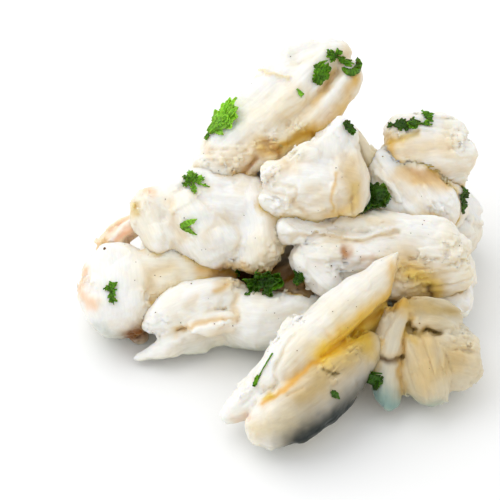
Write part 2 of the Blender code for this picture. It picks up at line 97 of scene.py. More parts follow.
# What pushes flakes, chunks and bundles out of shape: a size and a reach, in mm or in bundles.
FLAKE_WARP = (3.0, 0.8)
CHUNK_WARP = (5.0, 1.6)
BUNDLE_WARP = (0.5, 0.3)

# Sizes of the patterns in mm; of three, the last runs along the muscle.
FIBRE_LENGTH = 9.0
FLAKE_SIZE = 3.4
CHUNK_SIZE = 7.0
SHRED_SIZE = 1.5
STRAND_SIZE = (0.8, 0.8, 5.0)
BUNDLE_SIZE = (3.6, 3.6, 15.0)

# How much stronger the fibres are at a muscle's ends, and how sharply a torn spot begins.
FIBRE_END_GAIN = 1.6
TORN_SHARPNESS = 1.6

# Plates at odd heights: how much their heights differ, the width of their rounded edges as a share
# of their size, then how deep and how wide the gaps are.
SHRED_PLATES = (1.3, 0.2, 0.35, 0.2)
BUNDLE_PLATES = (0.9, 0.25, 0.5, 0.18)

# The seams between muscles, open in places only.
SEAM_WIDTH = 0.8
SEAM_DEPTH = 0.6
SEAM_STRETCH = 4.0
SEAM_TINT_STRETCH = 5.0

# What is added to a lump's seed for each of its random patterns.
PIT_SEED = 5
SEAM_SEED = 6
FLAKE_WARP_SEED = 20
FLAKE_SEED = 30
DRIFT_SEED = 40
MOTTLE_SEED = 41
PATCH_SEED = 44
CHUNK_WARP_SEED = 50
CHUNK_SEED = 60
WANDER_SEED = 70
SHRED_SEED = 80
STRAND_SEED = 90
BUNDLE_WARP_SEED = 100
BUNDLE_SEED = 110

# The meat's tints: where the light comes from, for the painted shade on the side turned away from it,
# then in mm the sizes of the patches, how near a neighbour paints shade, up to what height the
# underside gets a cool painted shade, and how far apart two muscles' grain is.
TOWARD_KEY = np.array((-0.42, 0.22, 0.88))
DRIFT_SIZE = 9.0
MOTTLE_SIZE = 2.6
PATCH_SIZE = 4.0
CONTACT_SHADE_REACH = 2.2
UNDERSIDE_SHADE_HEIGHT = 9.0
GRAIN_APART = 40

# Leaves of parsley: their rows and columns of points, then in mm how thick they are, how far off a
# point the surface is looked for, how deep and how high the point may settle, and how deep where
# there is none, and their range of tones. The leaflets at their sides: where along the leaf, their
# turns in degrees and their width as a share of the leaf's.
LEAF_STATIONS = 11
LEAF_COLUMNS = (-1.0, -0.5, 0.0, 0.5, 1.0)
LEAF_THICKNESS = 0.16
LEAF_REACH = 3.0
LEAF_SINKS = (-1.2, 2.0)
LEAF_HANG = -0.4
LEAF_TONES = (0.65, 1.4)
SIDE_LEAFLETS = (0.3, 0.62)
SIDE_TURNS = (32, 52)
SIDE_WIDTH = 0.62
PARSLEY_SEED = 500

# The leaf at the upper right whose edge has curled round: its place on the slope, then in mm and
# degrees, and a profile of its rim from the inside out, as a share of the breadth and a rise.
CUP_PLACE = (21.5, 41.3)
CUP_RADIUS = 2.4
CUP_BREADTH = 0.75
CUP_DEPTH = 1.5
CUP_STATIONS = 22
CUP_START = 190
CUP_SWEEP = 225
CUP_PROFILE = ((0.0, 0.4), (0.5, 0.9), (1.0, 0.8))
CUP_SEED = 77

# Specks of pepper: sizes in mm, how far they are stretched each way, and the rays that find their
# places. The large speck has its own place on the slope, its size and its seed.
SPECK_COUNT = 120
SPECK_SIZES = (0.07, 0.18)
SPECK_STRETCH = ((0.7, 1.5), (0.6, 1.0), (0.5, 0.9))
SPECK_HEIGHTS = (15, 80)
SPECK_SPREAD = (20, 18)
SPECK_LEVEL = 12
SPECK_START = 200
SPECK_SIZE_SEED = 8
SPECK_PLACE_SEED = 9
SPECK_SEED = 900
LARGE_SPECK = ((-35.2, -0.9), 0.5, 899)

# The stage: the view and the sensor in mm, then in metres the floor, the key light and the sky.
VIEW_WIDTH = 115.0
VIEW_ACROSS = -1.84
VIEW_UP = -1.15
SENSOR_WIDTH = 36.0
CLIP_START = 0.01
FLOOR_SIZE = 4.0
FLOOR_DROP = -0.0002
KEY_PLACE = (-0.34, 0.22, 0.50)
KEY_TARGET = (0.0, 0.0, 0.02)
KEY_SIZE = 0.8
KEY_POWER = 2.1
KEY_COLOUR = (1.0, 0.995, 0.985)
SKY_COLOUR = (0.985, 0.995, 1.0, 1.0)
SKY_STRENGTH = 0.9


def srgb(red, green, blue):
    """A screen colour as linear light."""
    return np.array([(channel / 255) ** 2.2 for channel in (red, green, blue)])


# Many of these colours are painted light. SHADED is the base of a lump that lies in its neighbours' shade,
# as painted shade; the pale, plain and deep honeys, the tan and the cool grey-green are painted shade; the
# gold, saffron and amber are butter with painted shade in creases; the yolk is butter in painted bounce
# light; SHADOW is a painted shadow; the rust is red skin darkened as painted shadow.
WHITE = srgb(241, 240, 236)
CREAM = srgb(238, 228, 204)
SHADED = srgb(208, 202, 184)
PALE_HONEY_SHADE = srgb(224, 208, 170)
PEACH = srgb(236, 196, 158)
BLUSH = srgb(243, 216, 188)
TAN_SHADE = srgb(226, 200, 150)
GOLD_BUTTER_AND_SHADE = srgb(218, 172, 64)
BUTTER = srgb(216, 178, 18)
SAFFRON_BUTTER_AND_SHADE = srgb(230, 168, 14)
LIT_YOLK_BUTTER = srgb(250, 212, 66)
AMBER_BUTTER_AND_SHADE = srgb(178, 122, 34)
HONEY_SHADE = srgb(214, 182, 114)
DEEP_HONEY_SHADE = srgb(182, 152, 80)
BROWN = srgb(100, 68, 2)
SHADOWED_RUST = srgb(124, 74, 4)
RUSSET = srgb(180, 120, 50)
OLIVE = srgb(120, 96, 24)
COOL_SHADE = srgb(130, 158, 152)
SHADOW = srgb(20, 32, 28)
ORANGE = srgb(232, 150, 96)
BRIGHT_GREEN = srgb(110, 162, 40)
MIDDLE_GREEN = srgb(72, 116, 12)
DARK_GREEN = srgb(48, 80, 8)
PEPPER_DARK = srgb(52, 34, 20)
PEPPER_LIGHT = srgb(132, 96, 54)
FLOOR_DARK = (0.93, 0.93, 0.93)
FLOOR_LIGHT = (0.96, 0.96, 0.96)


@dataclass(frozen=True)
class Muscle:
    """A blunt spindle from tip to tip along an arc through three points.

    A flat is a place and a direction: nothing of the muscle stands out farther than there.
    """

    spine: tuple
    widths: tuple
    flats: tuple = ()


@dataclass(frozen=True)
class Mark:
    """A crevice, lip, stain or painted shade along a path on the slope: its half width, rise, colour and
    strength.
    """

    path: tuple
    width: float
    rise: float = 0.0
    colour: object = None
    strength: float = 1.0


@dataclass(frozen=True)
class Lump:
    """A lump: its muscles and marks, how flaky, fibrous, chunky and bundled it is, and its shade.

    Its muscles melt together where they are this near, and each gets so many flats. A torn spot is
    its place on the slope, across and up, and its radius in mm.
    """

    name: str
    seed: int
    muscles: tuple
    marks: tuple = ()
    flaky: float = 0.25
    fibrous: float = 1.0
    chunky: float = 0.5
    melt: float = 3.4
    torn: tuple = ()
    flats: int = 2
    bundled: float = 0.7
    shade: object = field(default_factory=lambda: WHITE)
    stride: int = 1


@dataclass
class Block:
    """A box of lattice points: where it starts, in steps, and its field in mm."""

    start: np.ndarray
    values: np.ndarray


@dataclass(frozen=True)
class Sprig:
    """A torn bit of parsley: where its leaflets join, its leaflets and its looks.

    A leaflet is its heading on the slope in degrees, its length and its half width in mm.
    """

    place: tuple
    leaflets: tuple
    colour: object
    curl: float = 0.25
    lift: float = 0.25
    feathery: bool = True


# --- The layout ---


def on_slope(across, up, out):
    """The point that an eye square to the front slope sees at this place, this far out of it."""
    nearness = 1 - out / EYE_DISTANCE
    return SLOPE_CENTRE + nearness * (across * RIGHT + up * UPHILL) + out * OUTWARD


def seen_places(points):
    """Where the eye sees these points on the slope: across and up."""
    offset = points - SLOPE_CENTRE
    nearness = 1 - (offset @ OUTWARD) / EYE_DISTANCE
    return np.stack(((offset @ RIGHT) / nearness, (offset @ UPHILL) / nearness), axis=-1)


def muscle_on_slope(start, middle, end, widths, *flats):
    """A muscle whose spine, and whose flats' places and directions, are given on the front slope."""
    cuts = []
    for place, (across, up, out) in flats:
        direction = across * RIGHT + up * UPHILL + out * OUTWARD
        cuts.append((on_slope(*place), direction / np.linalg.norm(direction)))
    return Muscle(tuple(on_slope(*point) for point in (start, middle, end)), widths, tuple(cuts))


def muscles_on_slope(*rows):
    """Muscles on the front slope: each row is a start, middle and end, the widths, then any flats."""
    return tuple(muscle_on_slope(*row) for row in rows)


def front_lump():
    """The long lump that lies slantwise in front, with a finger over a rounder muscle."""
    muscles = muscles_on_slope(
        (
            (36.2, -1.0, 5.4), (15.2, -19.0, 13.4), (0.0, -33.2, 17.0), (4.2, 5.2, 4.8),
            ((31.6, -6.0, 6.8), (0.97, -0.2, 0.12)),
        ),
        ((20.4, -9.6, 7.0), (11.4, -19.8, 11.0), (2.2, -30.0, 13.4), (2.8, 3.3, 3.6)),
        ((8.0, -16.0, 10.0), (3.0, -29.6, 13.4), (-8.6, -40.4, 15.6), (2.4, 3.7, 3.6)),
        ((-2.6, -42.5, 19.0), (11.0, -36.2, 17.0), (27.2, -20.8, 8.4), (5.4, 7.2, 5.6)),
        ((29.0, -12.0, 0.0), (12.0, -27.0, 5.0), (0.0, -36.0, 10.4), (6.6, 8.0, 5.6)),
    )
    # Painted shade: the deep honey on the lower lobe, the pale honey along the finger and low on the lobe,
    # the shadow under the lobe and the tan in the small groove. The gold and saffron in the crevice and on
    # the finger's lower edge are butter with painted shade, and the yolk band is butter in painted bounce
    # light.
    marks = (
        Mark(((25.0, -22.0), (17.0, -29.0), (10.0, -35.0)), 5.0, 0, DEEP_HONEY_SHADE, 0.85),
        Mark(((28.6, -14.4), (20.6, -20.4), (14.5, -25.2)), 2.8, 0, LIT_YOLK_BUTTER, 1.0),
        Mark(((14.5, -25.2), (5.1, -33.0), (0.9, -36.3)), 1.4, 0, GOLD_BUTTER_AND_SHADE, 0.4),
        Mark(
            ((28.6, -14.8), (20.6, -20.8), (13.5, -26.4), (5.1, -33.4), (0.9, -36.3)),
            0.6, -0.2, SAFFRON_BUTTER_AND_SHADE, 0.7,
        ),
        Mark(((31.4, -5.5), (30.6, -10.5), (24.0, -17.0), (18.0, -21.6)), 1.8, 0, GOLD_BUTTER_AND_SHADE, 0.85),
        Mark(((32.0, -4.0), (26.0, -10.0), (19.0, -16.0)), 3.4, 0, PALE_HONEY_SHADE, 0.35),
        Mark(((22.0, -20.6), (24.6, -21.4), (25.4, -23.6)), 2.2, -0.2, BUTTER, 0.55),
        Mark(((15.0, -29.2), (17.5, -30.2), (18.5, -29.6)), 0.4, -0.35, OLIVE, 0.7),
        Mark(((6.5, -34.6), (9.5, -33.2)), 0.5, -0.3, TAN_SHADE, 0.7),
        Mark(((2.3, -34.5), (2.9, -34.2)), 1.0, 0, BUTTER, 0.8),
        Mark(((0.0, -42.0), (7.0, -40.5)), 3.4, 0, PALE_HONEY_SHADE, 0.8),
        Mark(((9.0, -45.4), (18.0, -40.4), (28.0, -31.6)), 4.5, 0, SHADOW, 1.0),
        Mark(((-3.0, -39.0), (-5.0, -41.0)), 1.2, -0.4, PEACH, 0.5),
        Mark(((4.5, -17.0), (2.0, -22.0), (-0.6, -25.5)), 0.5, 0.5, None),
        Mark(((9.5, -19.5), (5.0, -26.5), (3.0, -32.5)), 0.5, -0.5, CREAM, 0.5),
    )
    torn = (
        (8.5, -16.0, 3.4),
        (4.0, -20.6, 3.6),
        (-4.0, -33.6, 3.6),
        (16.5, -29.0, 4.6),
        (22.5, -23.5, 4.0),
    )
    return Lump(
        "front_lump", 11, muscles, marks, flaky=0.15, fibrous=0.8, chunky=0.3, melt=2.4, torn=torn, flats=0,
        bundled=0.3,
    )


def front_right_lump():
    """Short upright muscles side by side, split by cracks."""
    muscles = muscles_on_slope(
        ((30.3, -23.4, 8.8), (30.1, -31.0, 9.8), (29.8, -38.2, 10.6), (3.3, 3.8, 3.6)),
        ((34.0, -12.2, 5.4), (31.4, -19.6, 8.2), (28.9, -27.0, 9.6), (3.6, 4.0, 3.5)),
        ((32.6, -15.6, 6.0), (38.6, -16.2, 7.4), (48.0, -17.0, 6.0), (3.8, 4.4, 3.8)),
        ((36.0, -20.0, 6.0), (38.6, -28.0, 8.6), (41.0, -37.2, 10.6), (5.2, 6.2, 5.4)),
        ((37.0, -23.0, 6.0), (44.6, -26.4, 7.8), (51.6, -28.0, 7.0), (5.6, 7.0, 5.2)),
        ((26.6, -20.0, 1.0), (37.0, -22.0, 1.0), (50.0, -22.6, 1.6), (6.6, 8.4, 6.6)),
    )
    # Painted shade: the whole lump's base colour, as it lies in its neighbours' shade, the honey on its
    # right part, the deep honey along its top under the finger and the cool grey-green along its lower
    # edges. The gold in its crevices and along its top is butter with painted shade.
    marks = (
        Mark(((34.8, -16.8), (33.4, -21.0), (33.0, -26.5), (33.6, -34.5)), 0.8, -0.7, GOLD_BUTTER_AND_SHADE, 0.7),
        Mark(((26.8, -25.9), (29.5, -26.3), (32.6, -25.8)), 0.6, -0.8, BROWN, 0.85),
        Mark(((34.2, -18.2), (36.8, -20.6), (38.4, -19.4), (41.5, -19.8)), 0.7, -0.9, OLIVE, 0.95),
        Mark(((26.5, -14.2), (30.0, -12.8), (34.0, -14.6)), 1.8, 0, GOLD_BUTTER_AND_SHADE, 0.7),
        Mark(((33.8, -20.0), (36.0, -22.5)), 1.0, -0.2, BUTTER, 0.6),
        Mark(((34.6, -36.0), (38.0, -37.5), (43.0, -38.0)), 2.0, 0, COOL_SHADE, 0.7),
        Mark(((38.0, -22.0), (38.0, -31.0), (46.0, -26.0)), 4.6, 0, HONEY_SHADE, 0.7),
        Mark(((27.0, -13.2), (36.0, -13.8), (44.0, -15.0)), 2.6, 0, DEEP_HONEY_SHADE, 0.8),
        Mark(((27.6, -34.6), (31.0, -37.5)), 3.6, 0, COOL_SHADE, 0.95),
        Mark(((29.6, -15.0), (34.0, -13.0)), 1.2, -0.2, GOLD_BUTTER_AND_SHADE, 0.6),
    )
    torn = ((29.0, -15.0, 3.6), (47.0, -22.0, 4.0))
    return Lump(
        "front_right_lump", 23, muscles, marks, flaky=0.2, fibrous=0.7, melt=2.6, torn=torn, flats=3,
        shade=SHADED,
    )


def right_lump():
    """The wide flaky lump in the middle of the right side, with a ridge along its top."""
    muscles = muscles_on_slope(
        ((3.4, 1.2, -0.4), (14.0, 5.6, 2.0), (26.2, 4.2, -0.2), (3.6, 4.6, 3.6)),
        ((16.6, 5.2, -2.6), (30.4, 4.0, -1.6), (46.0, 1.8, -2.4), (3.4, 4.3, 4.2)),
        ((7.6, -1.8, -2.0), (20.0, -3.2, -0.8), (38.0, -1.4, -1.6), (4.6, 6.4, 5.6)),
        ((8.6, -1.0, -1.0), (13.4, -6.0, 0.6), (18.0, -10.6, 1.0), (3.0, 3.9, 3.4)),
        ((25.5, -9.2, -2.0), (36.2, -8.0, -1.2), (49.6, -6.2, -2.6), (5.4, 6.6, 5.4)),
        ((31.5, 1.2, -1.4), (38.8, 0.0, -0.6), (49.2, -1.4, -2.0), (4.6, 5.4, 4.8)),
        ((8.0, 2.0, -8.0), (24.0, 0.6, -8.0), (44.0, -1.0, -8.0), (5.0, 7.0, 6.0)),
    )
    # Painted shade: the tan in the groove along the ridge and on the top edge, the honey on the right end,
    # and the brown along the lower left edge, the hollow's painted shade with some juice. The white band
    # below the peak is painted light.
    marks = (
        Mark(((7.5, 1.6), (14.0, 2.2), (20.0, 0.8), (26.0, 0.8), (32.0, 3.2)), 0.6, -0.6, TAN_SHADE, 0.55),
        Mark(((7.5, 2.6), (14.0, 3.2), (20.0, 1.8), (26.0, 1.8), (32.0, 4.2)), 0.7, 0.5, None),
        Mark(((20.0, -1.5), (20.5, -2.2)), 1.3, -0.3, RUSSET, 0.9),
        Mark(((24.0, -3.6), (26.5, -3.2)), 0.7, -0.3, PEACH, 0.4),
        Mark(((33.5, -4.0), (40.0, -9.0), (36.0, -12.0)), 4.4, 0, HONEY_SHADE, 0.8),
        Mark(((35.0, -6.5), (41.0, -10.0)), 2.0, 0, BUTTER, 0.6),
        Mark(((38.6, -9.6), (39.6, -11.2), (40.0, -12.8)), 0.7, -0.7, BROWN, 0.9),
        Mark(((25.0, 6.2), (31.0, 5.6)), 1.0, 0, TAN_SHADE, 0.4),
        Mark(((24.6, -6.4), (29.6, -4.8)), 1.4, 0, PEACH, 0.35),
        Mark(((10.5, -8.0), (14.0, -11.6)), 1.2, -0.2, OLIVE, 0.3),
        Mark(((31.5, 0.0), (32.0, -5.0), (29.5, -9.5)), 0.7, -0.4, CREAM, 0.4),
        Mark(((3.4, -4.0), (6.6, -6.6), (9.4, -10.8)), 1.8, 0, BROWN, 0.95),
        Mark(((5.0, 4.4), (10.0, 5.6), (16.0, 5.4)), 2.6, 0.3, WHITE, 0.7),
    )
    torn = ((18.0, -4.4, 4.6), (36.5, -7.0, 6.0), (10.0, -9.6, 3.6), (28.0, 5.0, 3.0), (46.0, -2.0, 6.0))
    return Lump(
        "right_lump", 31, muscles, marks, flaky=0.3, fibrous=0.8, chunky=0.7, melt=2.6, torn=torn, flats=3,
    )


def peak_lump():
    """The crumbly lump in the middle, with a peak, an even right face and knobs on its left."""
    muscles = muscles_on_slope(
        (
            (1.2, 13.4, -1.4), (13.2, 14.6, 0.0), (24.6, 12.0, -1.8), (7.4, 8.8, 6.6),
            ((6.8, 18.8, 0.0), (-0.4, 0.9, 0.1)), ((9.0, 15.0, 7.4), (-0.2, 0.2, 0.96)),
        ),
        (
            (18.0, 28.9, -3.0), (16.4, 21.6, -0.4), (15.4, 10.0, 1.2), (4.2, 7.2, 7.4),
            ((11.0, 22.4, 0.0), (-0.62, 0.78, 0.1)), ((20.0, 16.0, 5.4), (0.7, -0.1, 0.7)),
        ),
        ((20.2, 23.0, -1.5), (21.2, 13.8, 1.0), (20.2, 6.8, 1.2), (3.5, 4.5, 3.9)),
        ((0.8, 15.8, 1.4), (4.0, 16.0, 3.0), (8.4, 16.4, 3.4), (3.2, 3.8, 3.4)),
        ((0.2, 11.6, 1.2), (3.6, 10.8, 2.8), (7.6, 10.0, 3.2), (3.2, 3.8, 3.4)),
        ((5.2, 17.8, 1.0), (9.6, 18.9, 2.8), (14.2, 20.6, 3.0), (3.2, 3.8, 3.6)),
        ((4.0, 9.2, 1.0), (9.6, 9.8, 2.2), (15.8, 10.4, 3.0), (3.0, 3.6, 3.6)),
    )
    # Painted shade: the honey on the right face, and the tan on the knobs, on the lower middle and in the
    # groove. The gold in the crease and along the bottom is butter with painted shade.
    marks = (
        Mark(((18.6, 19.5), (17.6, 14.0), (17.8, 9.0)), 0.7, 0.5, None),
        Mark(((21.4, 17.0), (22.4, 11.0), (19.6, 7.6)), 3.6, 0, HONEY_SHADE, 0.75),
        Mark(((18.2, 16.0), (17.4, 12.0), (17.4, 8.4)), 0.45, -0.3, GOLD_BUTTER_AND_SHADE, 0.6),
        Mark(((22.8, 13.0), (22.0, 8.6)), 1.4, 0, BUTTER, 0.35),
        Mark(((15.5, 7.0), (19.5, 7.2)), 1.2, 0, GOLD_BUTTER_AND_SHADE, 0.5),
        Mark(((6.5, 18.8), (8.4, 18.0)), 1.6, -0.3, TAN_SHADE, 0.35),
        Mark(((12.4, 12.8), (15.0, 12.0)), 1.8, 0, TAN_SHADE, 0.4),
        Mark(((3.6, 14.2), (8.2, 13.8)), 0.7, -0.6, CREAM, 0.6),
        Mark(((8.8, 13.0), (7.6, 10.0), (11.0, 7.0)), 0.6, -0.6, TAN_SHADE, 0.45),
    )
    torn = ((2.6, 16.0, 4.2), (5.0, 10.0, 4.4), (9.0, 21.6, 3.4))
    return Lump(
        "peak_lump", 41, muscles, marks, flaky=0.3, fibrous=0.3, chunky=1.2, melt=2.0, torn=torn, flats=4,
        bundled=0.4,
    )


def front_left_lump():
    """The long smooth lump at the front left, drawn out to a tail."""
    muscles = muscles_on_slope(
        ((-26.4, -19.2, -0.4), (-15.6, -13.4, -0.8), (-2.8, -10.6, -3.4), (3.8, 5.2, 4.6)),
        ((-20.0, -22.0, 1.4), (-12.4, -19.0, 2.6), (-4.4, -17.2, 2.2), (1.8, 2.5, 2.0)),
        ((-28.2, -26.0, -2.3), (-13.4, -22.0, 0.0), (4.0, -19.4, -0.6), (0.9, 4.0, 5.8)),
        ((-8.0, -13.4, -4.4), (2.4, -17.2, -2.4), (15.4, -11.4, -5.8), (5.6, 7.0, 4.9)),
        ((-23.0, -17.0, -6.4), (-12.0, -15.8, -7.0), (1.0, -16.6, -7.6), (4.8, 6.4, 5.4)),
    )
    # Painted shade: the cool grey-green along the lower edge, and the tan in the grooves and along the top
    # edge. The gold in the creases is butter with painted shade.
    marks = (
        Mark(((-18.5, -20.4), (-13.8, -18.2), (-9.0, -16.6), (-6.4, -16.8)), 0.8, -0.35, GOLD_BUTTER_AND_SHADE, 0.6),
        Mark(((-5.4, -11.5), (-5.2, -17.0)), 0.8, -0.5, TAN_SHADE, 0.6),
        Mark(((-9.0, -10.4), (-7.6, -9.6)), 1.0, -0.2, GOLD_BUTTER_AND_SHADE, 0.7),
        Mark(((-16.5, -14.0), (-15.0, -12.6)), 1.0, -0.2, TAN_SHADE, 0.35),
        Mark(((-15.0, -25.0), (-3.0, -25.6), (9.0, -23.5), (14.0, -20.5)), 3.4, 0, COOL_SHADE, 0.25),
        Mark(((-19.0, -21.6), (-13.4, -19.6), (-8.6, -18.2)), 0.7, 0.6, WHITE, 0.5),
        Mark(((-7.6, -18.0), (-6.9, -17.4)), 0.8, 0.9, WHITE, 0.8),
        Mark(((-8.0, -8.0), (-1.0, -9.6), (6.0, -9.0)), 1.6, 0, TAN_SHADE, 0.7),
    )
    torn = ((-5.0, -8.4, 3.6), (-7.4, -17.6, 2.2), (-23.0, -18.6, 3.4), (7.0, -9.6, 4.0))
    return Lump(
        "front_left_lump", 53, muscles, marks, flaky=0.05, fibrous=0.3, torn=torn, flats=1, bundled=0.25,
    )


def middle_left_lump():
    """The big smooth lump on the left, hanging over the hollow in the middle."""
    muscles = muscles_on_slope(
        ((-25.6, 12.0, -8.8), (-24.2, 5.4, -5.6), (-20.4, -1.6, -4.8), (4.0, 5.0, 4.6)),
        ((-25.4, 8.8, -7.0), (-11.6, 10.8, -5.0), (3.4, 8.6, -5.4), (5.4, 7.4, 6.4)),
        ((-18.6, 13.0, -7.6), (-12.6, 5.0, -2.8), (-8.6, -5.0, -3.4), (6.4, 7.8, 6.0)),
        ((-4.2, 13.8, -8.6), (-1.0, 4.4, -3.2), (-0.6, -6.6, -3.2), (6.6, 7.2, 6.4)),
        ((-22.0, 1.6, -8.0), (-11.0, 1.0, -6.0), (3.0, 0.0, -6.0), (5.0, 5.8, 5.6)),
    )
    # Painted shade: the tan in the creases and on the right end. The gold and amber in the crease and along
    # the lower edge over the hollow are butter with painted shade.
    marks = (
        Mark(((-21.0, 9.5), (-20.2, 4.6), (-17.6, 1.0)), 1.4, -0.5, TAN_SHADE, 0.5),
        Mark(((-7.6, 7.2), (-12.0, 1.0)), 1.4, -0.2, TAN_SHADE, 0.35),
        Mark(((3.8, 5.0), (5.0, -1.0), (2.4, -5.6)), 2.2, 0, TAN_SHADE, 0.4),
        Mark(((4.8, 6.4), (6.4, 0.0), (4.6, -4.6)), 1.1, 0, GOLD_BUTTER_AND_SHADE, 0.55),
        Mark(((-7.6, -4.4), (-2.0, -6.2), (2.4, -5.8)), 1.3, 0, GOLD_BUTTER_AND_SHADE, 0.6),
        Mark(((-28.6, 9.4), (-28.4, 7.0)), 1.0, 0, BUTTER, 0.6),
        Mark(((-25.6, 12.6), (-24.0, 11.8)), 1.0, 0.4, PEACH, 0.7),
        Mark(((-12.0, 13.6), (-15.0, 12.0)), 1.4, 0, TAN_SHADE, 0.3),
        Mark(((-9.0, -5.6), (-2.0, -7.6), (5.0, -6.6)), 1.2, 0, AMBER_BUTTER_AND_SHADE, 0.8),
    )
    torn = ((-5.4, -4.8, 4.4), (4.6, -2.0, 3.6), (-26.6, 9.4, 3.4), (2.0, -5.6, 3.0))
    return Lump(
        "middle_left_lump", 61, muscles, marks, flaky=0.1, fibrous=0.25, chunky=0.9, torn=torn, flats=3,
        bundled=0.4,
    )


def left_lump():
    """The round lump at the far left, with an arm that reaches under its neighbour."""
    muscles = muscles_on_slope(
        ((-33.4, -0.8, -13.0), (-32.2, -10.6, -6.2), (-31.4, -21.6, -3.0), (7.4, 8.8, 8.0)),
        ((-31.0, -6.4, -8.0), (-19.0, -7.2, -7.4), (-4.8, -6.6, -9.4), (6.2, 6.6, 5.0)),
        ((-28.4, -17.0, -4.6), (-22.0, -12.4, -5.2), (-15.0, -8.4, -8.0), (4.0, 4.8, 3.8)),
        ((-29.4, -20.4, -6.8), (-27.5, -20.8, -6.8), (-25.8, -20.0, -6.8), (1.6, 1.9, 1.6)),
    )
    # Painted shade: the tan in the crease, the pale honey along the arm and the cool grey-green at the
    # lower edge. The gold in the crease and the saffron along the arm's edge by the hollow are butter with
    # painted shade, and the rust knob underneath is red skin darkened as painted shadow.
    marks = (
        Mark(((-20.0, -4.6), (-24.4, -6.4), (-25.0, -11.0), (-23.4, -13.6)), 1.6, -0.4, TAN_SHADE, 0.6),
        Mark(((-24.4, -13.4), (-23.4, -13.8)), 0.8, -0.2, GOLD_BUTTER_AND_SHADE, 0.7),
        Mark(((-12.5, -5.0), (-8.0, -6.4), (-3.0, -7.6)), 1.9, 0, SAFFRON_BUTTER_AND_SHADE, 0.9),
        Mark(((-36.0, -19.0), (-31.0, -21.5)), 1.6, 0, COOL_SHADE, 0.35),
        Mark(((-22.0, -6.0), (-17.0, -6.2), (-12.0, -5.4)), 2.8, 0, PALE_HONEY_SHADE, 0.45),
        Mark(((-40.4, -6.0), (-40.8, -10.6), (-38.2, -14.0)), 1.5, 0.2, PEACH, 0.8),
        Mark(((-29.4, -21.2), (-26.2, -20.6)), 2.6, 0, SHADOWED_RUST, 1.0),
    )
    torn = ((-24.4, -12.8, 3.4), (-40.0, -8.6, 3.0), (-27.6, -20.6, 3.0))
    return Lump(
        "left_lump", 71, muscles, marks, flaky=0.0, fibrous=0.2, chunky=0.8, torn=torn, flats=1,
        bundled=0.2,
    )


def upper_right_lump():
    """The lump at the top of the right side, folded over itself."""
    muscles = muscles_on_slope(
        ((28.6, 19.6, -12.0), (37.6, 20.6, -10.6), (50.5, 20.6, -11.4), (5.4, 6.8, 5.6)),
        ((29.0, 25.6, -12.4), (36.4, 26.8, -11.2), (47.6, 26.0, -12.2), (3.0, 4.0, 3.6)),
        ((32.6, 15.4, -12.4), (39.0, 14.0, -12.0), (48.0, 15.0, -12.2), (3.0, 4.0, 3.6)),
    )
    # Painted shade: the broad tan across the middle. The gold down the left edge is butter with painted
    # shade, and the gold and amber along the lower edge are a painted shadow.
    marks = (
        Mark(((31.0, 23.6), (37.0, 22.4), (43.0, 23.0)), 2.8, 0, TAN_SHADE, 0.6),
        Mark(((30.4, 23.4), (33.4, 24.4), (37.4, 25.8)), 0.8, -0.3, BUTTER, 0.6),
        Mark(((30.2, 23.4), (30.8, 20.0), (32.4, 17.4)), 1.4, 0, GOLD_BUTTER_AND_SHADE, 0.7),
        Mark(((32.5, 16.4), (36.5, 15.0), (41.0, 15.4)), 1.8, -0.3, GOLD_BUTTER_AND_SHADE, 0.8),
        Mark(((36.0, 13.5), (44.0, 11.5)), 1.8, 0, AMBER_BUTTER_AND_SHADE, 0.75),
    )
    torn = ((32.6, 26.8, 4.0), (36.0, 15.0, 4.0), (46.0, 24.0, 4.0))
    return Lump("upper_right_lump", 83, muscles, marks, flaky=0.2, fibrous=0.6, torn=torn)


def back_right_lump():
    """Smooth bands that slant down behind the right side."""
    muscles = muscles_on_slope(
        ((27.0, 20.6, -11.4), (31.8, 15.0, -7.6), (39.4, 5.0, -4.0), (4.6, 5.0, 4.4)),
        ((25.4, 17.6, -11.0), (28.0, 10.4, -8.0), (32.0, 4.0, -5.4), (4.4, 5.2, 4.6)),
        ((33.5, 18.2, -11.4), (39.6, 11.0, -8.4), (45.4, 4.6, -6.0), (4.6, 6.0, 5.0)),
    )
    # Painted shade: the tan in the groove, and the gold and amber band, a painted shadow of the upper right
    # lump. The white patch at the top is painted light where that lump's shadow falls.
    marks = (
        Mark(((28.0, 20.0), (31.0, 12.5), (36.0, 6.5)), 0.6, 0.4, None),
        Mark(((32.0, 15.0), (36.5, 9.5), (41.0, 5.0)), 1.0, -0.3, TAN_SHADE, 0.3),
        Mark(((32.0, 17.2), (36.5, 15.8), (43.0, 14.6)), 2.0, -0.4, GOLD_BUTTER_AND_SHADE, 0.65),
        Mark(((35.0, 17.0), (39.0, 16.2), (44.0, 15.6)), 0.9, -0.3, AMBER_BUTTER_AND_SHADE, 0.5),
        Mark(((27.6, 20.6), (30.6, 19.4)), 2.6, 0, WHITE, 0.9),
    )
    torn = ((42.0, 8.0, 4.0),)
    return Lump("back_right_lump", 97, muscles, marks, flaky=0.1, fibrous=0.5, melt=4.5, torn=torn, flats=1)


